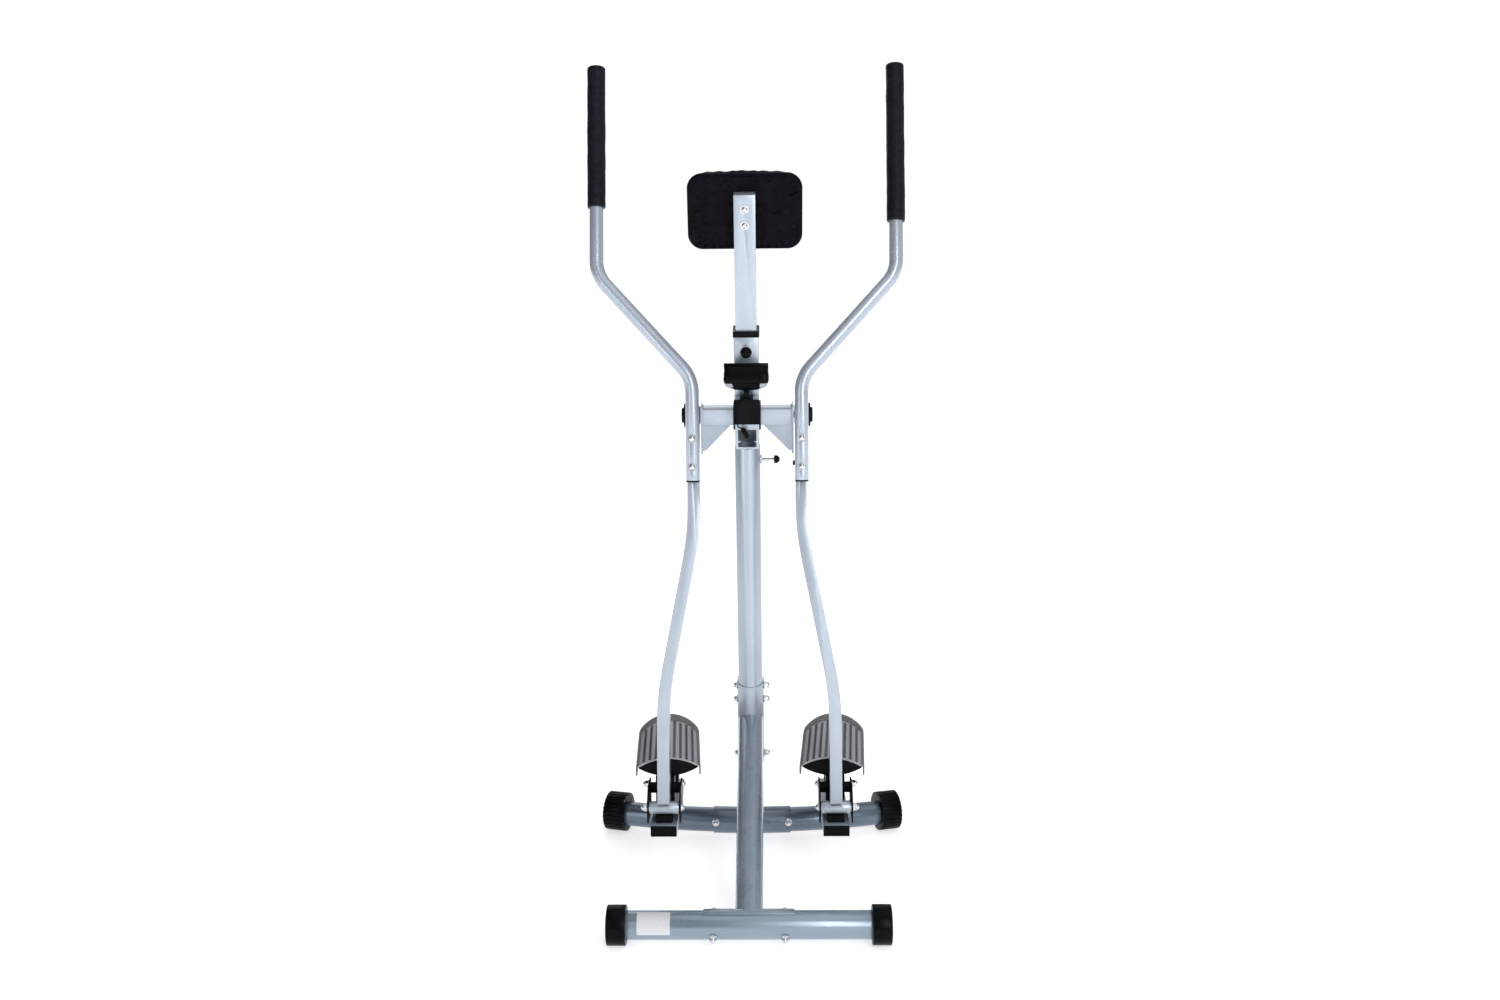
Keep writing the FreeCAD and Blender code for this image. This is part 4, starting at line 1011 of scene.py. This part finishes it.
@dataclass
class Pedal:
    """Slotted, crowned tread with its raised rim, and the two-colour yoke below."""

    side: Side
    half: float = 0.062
    length: float = 0.270
    rise: float = 0.019
    turn: float = 0.057
    skirt: float = 0.016
    wall: float = 0.0028
    side_band: float = 0.006
    end_band: float = 0.042
    lift: float = 0.0014
    toe_out: float = 3.5
    inset: float = 0.006
    rows: int = 9
    row_pitch: float = 0.0117
    slot_pitch: float = 0.0118
    slot_size: tuple[float, float, float] = (0.0076, 0.0106, 0.0009)
    slot_margins: tuple[float, float] = (0.008, 0.006)
    rim_foot: float = 0.0008
    rolled: float = 0.0012
    skirt_drops: tuple[float, ...] = (0.35, 0.7, 1.0)
    across_steps: int = 20
    field_steps: int = 30

    def __post_init__(self) -> None:
        """Finds the tread's place from its node."""
        low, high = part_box("pedal_tread_" + self.side.word)
        self.hinge = Vector(joint(self.side.word + "_pedal_rock")["pos_m"])
        toe = math.radians(self.toe_out)
        self.origin = Vector((self.hinge.x - self.side.value * self.inset,
                              low.y + self.half * math.sin(toe), high.z))
        self.turned = Matrix.Rotation(-self.side.value * toe, 3, "Z")

    def arch(self, x: float) -> float:
        """Height of the tread below its crown at one place across."""
        radius = arc_radius(self.half, self.rise)
        return math.sqrt(radius ** 2 - x * x) - radius

    def far_end(self, x: float) -> float:
        """Length of the tread at one place across."""
        radius = arc_radius(self.half, self.turn)
        return self.length - radius + math.sqrt(max(0.0, radius ** 2 - x * x))

    def field_end(self, x: float) -> float:
        """Length of the slotted field at one place across."""
        grown = min(1.0, abs(x) / (self.half - self.side_band)) * self.half * 0.97
        return self.far_end(grown) - self.end_band * (1.0 - 0.25 * (grown / self.half) ** 2)

    def tread(self, finishes: Finishes) -> None:
        """Makes the shell with its rim."""
        work = bmesh.new()
        inner = self.half - self.side_band
        outer = [inner + self.rim_foot, self.half - 0.002, self.half]
        columns = [-x for x in reversed(outer)]
        columns += [inner * (step / self.across_steps - 1.0) for step in range(2 * self.across_steps + 1)]
        columns += outer
        grid = []
        for x in columns:
            rim_side = abs(x) > inner + 1e-6
            field, end = self.field_end(x), self.far_end(x)
            ways = [(field * step / self.field_steps, rim_side) for step in range(self.field_steps + 1)]
            ways += [(y, True) for y in (field + 0.0009, field + 0.25 * (end - field),
                                         field + 0.6 * (end - field), end - 0.0015, end)]
            line = []
            for y, raised in ways:
                z = self.arch(x) + (self.lift if raised else 0.0) - self.lift
                z -= self.rolled * ((y == end) + (abs(x) == self.half))
                line.append(work.verts.new(Vector((x, y, z))))
            grid.append(line)
        skirts = []
        for base in (grid[0], grid[-1]):
            fades = [self.skirt * max(0.0, 1.0 - (index / (len(base) - 2)) ** 6) for index in range(len(base))]
            skirts.append([[work.verts.new(vertex.co - Vector((0.0, 0.0, drop * fade)))
                            for vertex, fade in zip(base, fades)] for drop in self.skirt_drops])
        grid = skirts[0][::-1] + grid + skirts[1]
        for first, second in zip(grid, grid[1:]):
            for index in range(len(first) - 1):
                quad = (first[index], second[index], second[index + 1], first[index + 1])
                face = work.faces.new(quad)
                spot = sum((vertex.co for vertex in quad), Vector()) / 4
                field = abs(spot.x) < inner and spot.y < self.field_end(spot.x)
                face.material_index = 0 if field else 1
        bmesh.ops.remove_doubles(work, verts=work.verts, dist=1e-6)
        for vertex in work.verts:
            vertex.co = self.origin + self.turned @ vertex.co
        piece = from_bmesh("tread_draft_" + self.side.word, work, finishes.pale, finishes.rim)
        top = max(piece.data.polygons, key=lambda face: abs(face.normal.z))
        if top.normal.z < 0:
            piece.data.flip_normals()
        thick = piece.modifiers.new("wall", "SOLIDIFY")
        thick.thickness = self.wall
        thick.offset = -1.0
        thick.material_offset_rim = 0
        piece = baked(piece, "tread_" + self.side.word)
        settle(piece, self.side.word + "_pedal", ["pedal_tread_" + self.side.word], smooth=42.0)

    def slots(self, finishes: Finishes) -> None:
        """Sets the rows of drain slots in the tread's field."""
        spots = []
        radius = arc_radius(self.half, self.rise)
        first, last = self.slot_margins
        for row in range(self.rows):
            x = (row - (self.rows - 1) / 2) * self.row_pitch
            normal = Vector((x / radius, 0.0, math.sqrt(1.0 - (x / radius) ** 2)))
            y = first
            while y < self.field_end(x) - last:
                place = self.origin + self.turned @ Vector((x, y, self.arch(x) - self.lift))
                spots.append((place, self.turned @ normal, self.turned @ Vector((0.0, 1.0, 0.0))))
                y += self.slot_pitch
        # Each slot gets a black floor of painted shade in place of an open hole.
        maker = Repeater(Shape.SLOT, finishes.gloss, *self.slot_size, edge=finishes.pale)
        piece = maker.place("tread_slots_" + self.side.word, spots)
        settle(piece, self.side.word + "_pedal", smooth=50.0)

    def yoke(self, finishes: Finishes) -> None:
        """Rounds the yoke's edges and parts its black plates from its bright tube."""
        word = self.side.word
        line = self.hinge.z - 8 * MM
        softened("pedal_frame_" + word, finishes.yoke, 0.7, second=finishes.silver,
                 where=lambda spot: spot.z < line)

    def build(self, finishes: Finishes) -> None:
        """Makes the whole pedal."""
        self.tread(finishes)
        self.slots(finishes)
        self.yoke(finishes)


# ---------------------------------------------------------------- monitor


@dataclass
class Monitor:
    """Two-part monitor housing with a parting groove and pale flanks."""

    sections: tuple[tuple[float, float, float, float], ...] = (
        (0.0090, -0.0170, 0.0100, 0.022), (0.0100, -0.0190, 0.0115, 0.026),
        (0.0140, -0.0250, 0.0138, 0.0325), (0.0190, -0.0310, 0.0140, 0.0375),
        (0.0240, -0.0340, 0.0140, 0.0395), (0.0262, -0.0345, 0.0140, 0.0398),
        (0.0266, -0.0330, 0.0136, 0.0388), (0.0278, -0.0330, 0.0136, 0.0388),
        (0.0282, -0.0350, 0.0138, 0.0406), (0.0300, -0.0356, 0.0116, 0.0410),
        (0.0325, -0.0352, 0.0085, 0.0409), (0.0350, -0.0348, 0.0055, 0.0407),
        (0.0400, -0.0335, -0.0006, 0.0403), (0.0450, -0.0300, -0.0066, 0.0396),
        (0.0500, -0.0258, -0.0127, 0.0386), (0.0530, -0.0232, -0.0164, 0.0372),
        (0.0545, -0.0218, -0.0182, 0.0355))
    corner: float = 0.009
    count: int = 96
    flank: float = 0.024
    pale_steps: int = 5

    def build(self, finishes: Finishes) -> None:
        """Lofts the housing."""
        tilt = Vector(joint("monitor_tilt")["pos_m"])
        work = bmesh.new()
        loops = []
        for up, front, back, half in self.sections:
            deep = (back - front) / 2
            ring = rounded_outline(half, deep, min(self.corner, 0.92 * deep), self.count)
            off = (front + back) / 2
            loops.append([work.verts.new(by_mast(tilt, x, off + y, up)) for x, y in ring])
        for face in loft(work, loops)[:self.pale_steps * self.count]:
            if abs(face.calc_center_median().x - tilt.x) > self.flank:
                face.material_index = 1
        piece = from_bmesh("monitor_shell", work, finishes.gloss, finishes.pale)
        settle(piece, "monitor", ["monitor_housing"], smooth=38.0)


# ---------------------------------------------------------------- frame details


@dataclass
class Welds:
    """Painted weld beads where tubes and plates meet."""

    bead_size: tuple[float, float, float] = (0.0042, 0.002604, 0.00315)
    pitch: float = 0.0019
    beam: float = 0.015
    plate_x: float = 0.0828
    gusset_off: float = -0.0085
    gusset_span: tuple[float, float] = (0.052, 0.0815)
    gusset_lift: float = 0.002
    sleeve: float = 0.0118
    flank_rise: float = 0.0085
    flank_half: float = 0.009
    face_rise: float = 0.0042
    face_half: float = 0.0112
    foot_z: float = 0.036
    foot_count: int = 90
    post_radius: float = 0.0247
    saddle_radius: float = 0.0275

    def lay(self, name: str, body: str, spots: list, finishes: Finishes) -> None:
        """Makes one run of beads."""
        maker = Repeater(Shape.BEAD, finishes.bead, *self.bead_size, uneven=0.3)
        piece = maker.place(name, spots)
        settle(piece, body, smooth=180.0)

    def build(self, finishes: Finishes) -> None:
        """Lays every run."""
        self.lay("crossbar_welds", "frame", self.crossbar_spots(), finishes)
        for side in Side:
            self.lay("sleeve_welds_" + side.word, side.word + "_arm", self.sleeve_spots(side), finishes)
        self.lay("post_foot_weld", "frame", self.foot_spots(), finishes)

    def crossbar_spots(self) -> list:
        """Spots along the gussets and round the end plates of the crossbar."""
        half, lift = self.beam, self.gusset_lift
        inner_x, outer_x = self.gusset_span
        spots = []
        for way in (-1.0, 1.0):
            for face in (OFF_MAST, -OFF_MAST):
                outer, inner = (by_mast(PIVOT, way * x, self.gusset_off, -half) + face * lift
                                for x in (outer_x, inner_x))
                spots += run_between(outer, inner, face, self.pitch)
            plate = PIVOT + ACROSS * way * self.plate_x
            corners = [(-half, -half), (-half, half), (half, half), (half, -half), (-half, -half)]
            for (off_a, up_a), (off_b, up_b) in zip(corners, corners[1:]):
                start, end = by_mast(plate, 0.0, off_a, up_a), by_mast(plate, 0.0, off_b, up_b)
                out = (start + end) / 2 - plate
                spots += run_between(start, end, out.normalized(), self.pitch)
        return spots

    def sleeve_spots(self, side: Side) -> list:
        """Spots round the foot of one arm, where it meets the pedal's sleeve."""
        hinge = Vector(joint(side.word + "_pedal_rock")["pos_m"])
        arm_up = PIVOT - hinge
        arm_up.x = 0.0
        arm_up.normalize()
        fore = arm_up.cross(ACROSS).normalized()
        spots = []
        for rise, half, along, away in ((self.flank_rise, self.flank_half, fore, ACROSS),
                                        (self.face_rise, self.face_half, ACROSS, fore)):
            for out in (-away, away):
                foot = hinge + arm_up * rise + out * self.sleeve
                spots += run_between(foot - along * half, foot + along * half, out, self.pitch)
        return spots

    def foot_spots(self) -> list:
        """Spots on the curve where the main post meets its saddle."""
        base = PIVOT - UP_MAST * (PIVOT.z - self.foot_z) / UP_MAST.z
        spots = []
        for index in range(self.foot_count):
            angle = math.tau * index / self.foot_count
            out = ACROSS * math.cos(angle) + OFF_MAST * math.sin(angle)
            way = ACROSS * -math.sin(angle) + OFF_MAST * math.cos(angle)
            ring = base + out * self.post_radius
            drop = Vector((0.0, ring.y - base.y, ring.z - base.z))
            aside = drop.y - drop.dot(UP_MAST) * UP_MAST.y
            place = ring + UP_MAST * math.sqrt(max(0.0, self.saddle_radius ** 2 - aside ** 2))
            spots.append((place, (out.normalized() + UP_MAST).normalized(), way.normalized()))
        return spots


SOFT_EDGES: dict[str, float] = {
    "handlebar_*": 0.4, "front_base_tube": 0.4, "rear_base_tube": 0.4, "front_leg": 1.0,
    "front_end_caps": 1.6, "brace_bracket": 0.9, "head_tube": 1.2, "crossbar": 0.9,
    "crossbar_collars": 0.7, "collar_bushing": 1.6, "monitor_stub": 1.0, "stub_plug": 1.2,
    "monitor_bracket": 0.6, "monitor_bezel": 0.8, "pad_post": 1.6, "pivot_cap_*": 0.8,
    "arm_bar_*": 1.4, "handle_plug_*": 1.0, "pedal_plug_*": 1.0, "pedal_bumper_*": 1.0,
    "pedal_tray_*": 1.0, "rear_cap_*": 0.7, "arm_magnet": 0.5,
}
SUNK_FACES: dict[str, float] = {"stub_plug": 2.4, "pedal_plug_*": 2.4}


def soften_all(finishes: Finishes) -> None:
    """Rounds the edges of every node listed, and parts the two pieces of two finishes."""
    saddle_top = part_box("rear_base_tube")[1].z + 3 * MM
    half_post = 26 * MM
    skirt_top = 55 * MM
    # The post's saddle and skirt take the darker slate copy too: painted shade, as on the rear base tube.
    softened("main_post", finishes.silver, 0.6, second=finishes.deep,
             where=lambda spot: spot.z < saddle_top and (abs(spot.x) > half_post or spot.z < skirt_top))
    low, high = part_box("lock_pin")
    flange, knob = 12.5 * MM, 11 * MM
    softened("lock_pin", finishes.gloss, 0.3, second=finishes.zinc,
             where=lambda spot: low.x + flange < spot.x < high.x - knob)
    for stem, width in SOFT_EDGES.items():
        for node in dict.fromkeys(stem.replace("*", side.word) for side in Side):
            softened(node, finishes.of_node(node), width, recess=SUNK_FACES.get(stem, 0.0))


def main() -> None:
    """Builds the machine and its studio."""
    logging.basicConfig(level=logging.INFO, format="%(name)s: %(message)s")
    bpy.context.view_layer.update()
    studio = Studio()
    studio.camera()
    finishes = Finishes()
    SensorLead().build(finishes)
    studio.build()
    dress_frame(finishes)
    ChestRest().build(finishes)
    Monitor().build(finishes)
    for side in Side:
        FoamGrip(side).build(finishes)
        Pedal(side).build(finishes)
    Welds().build(finishes)
    soften_all(finishes)


if __name__ == "__main__":
    main()
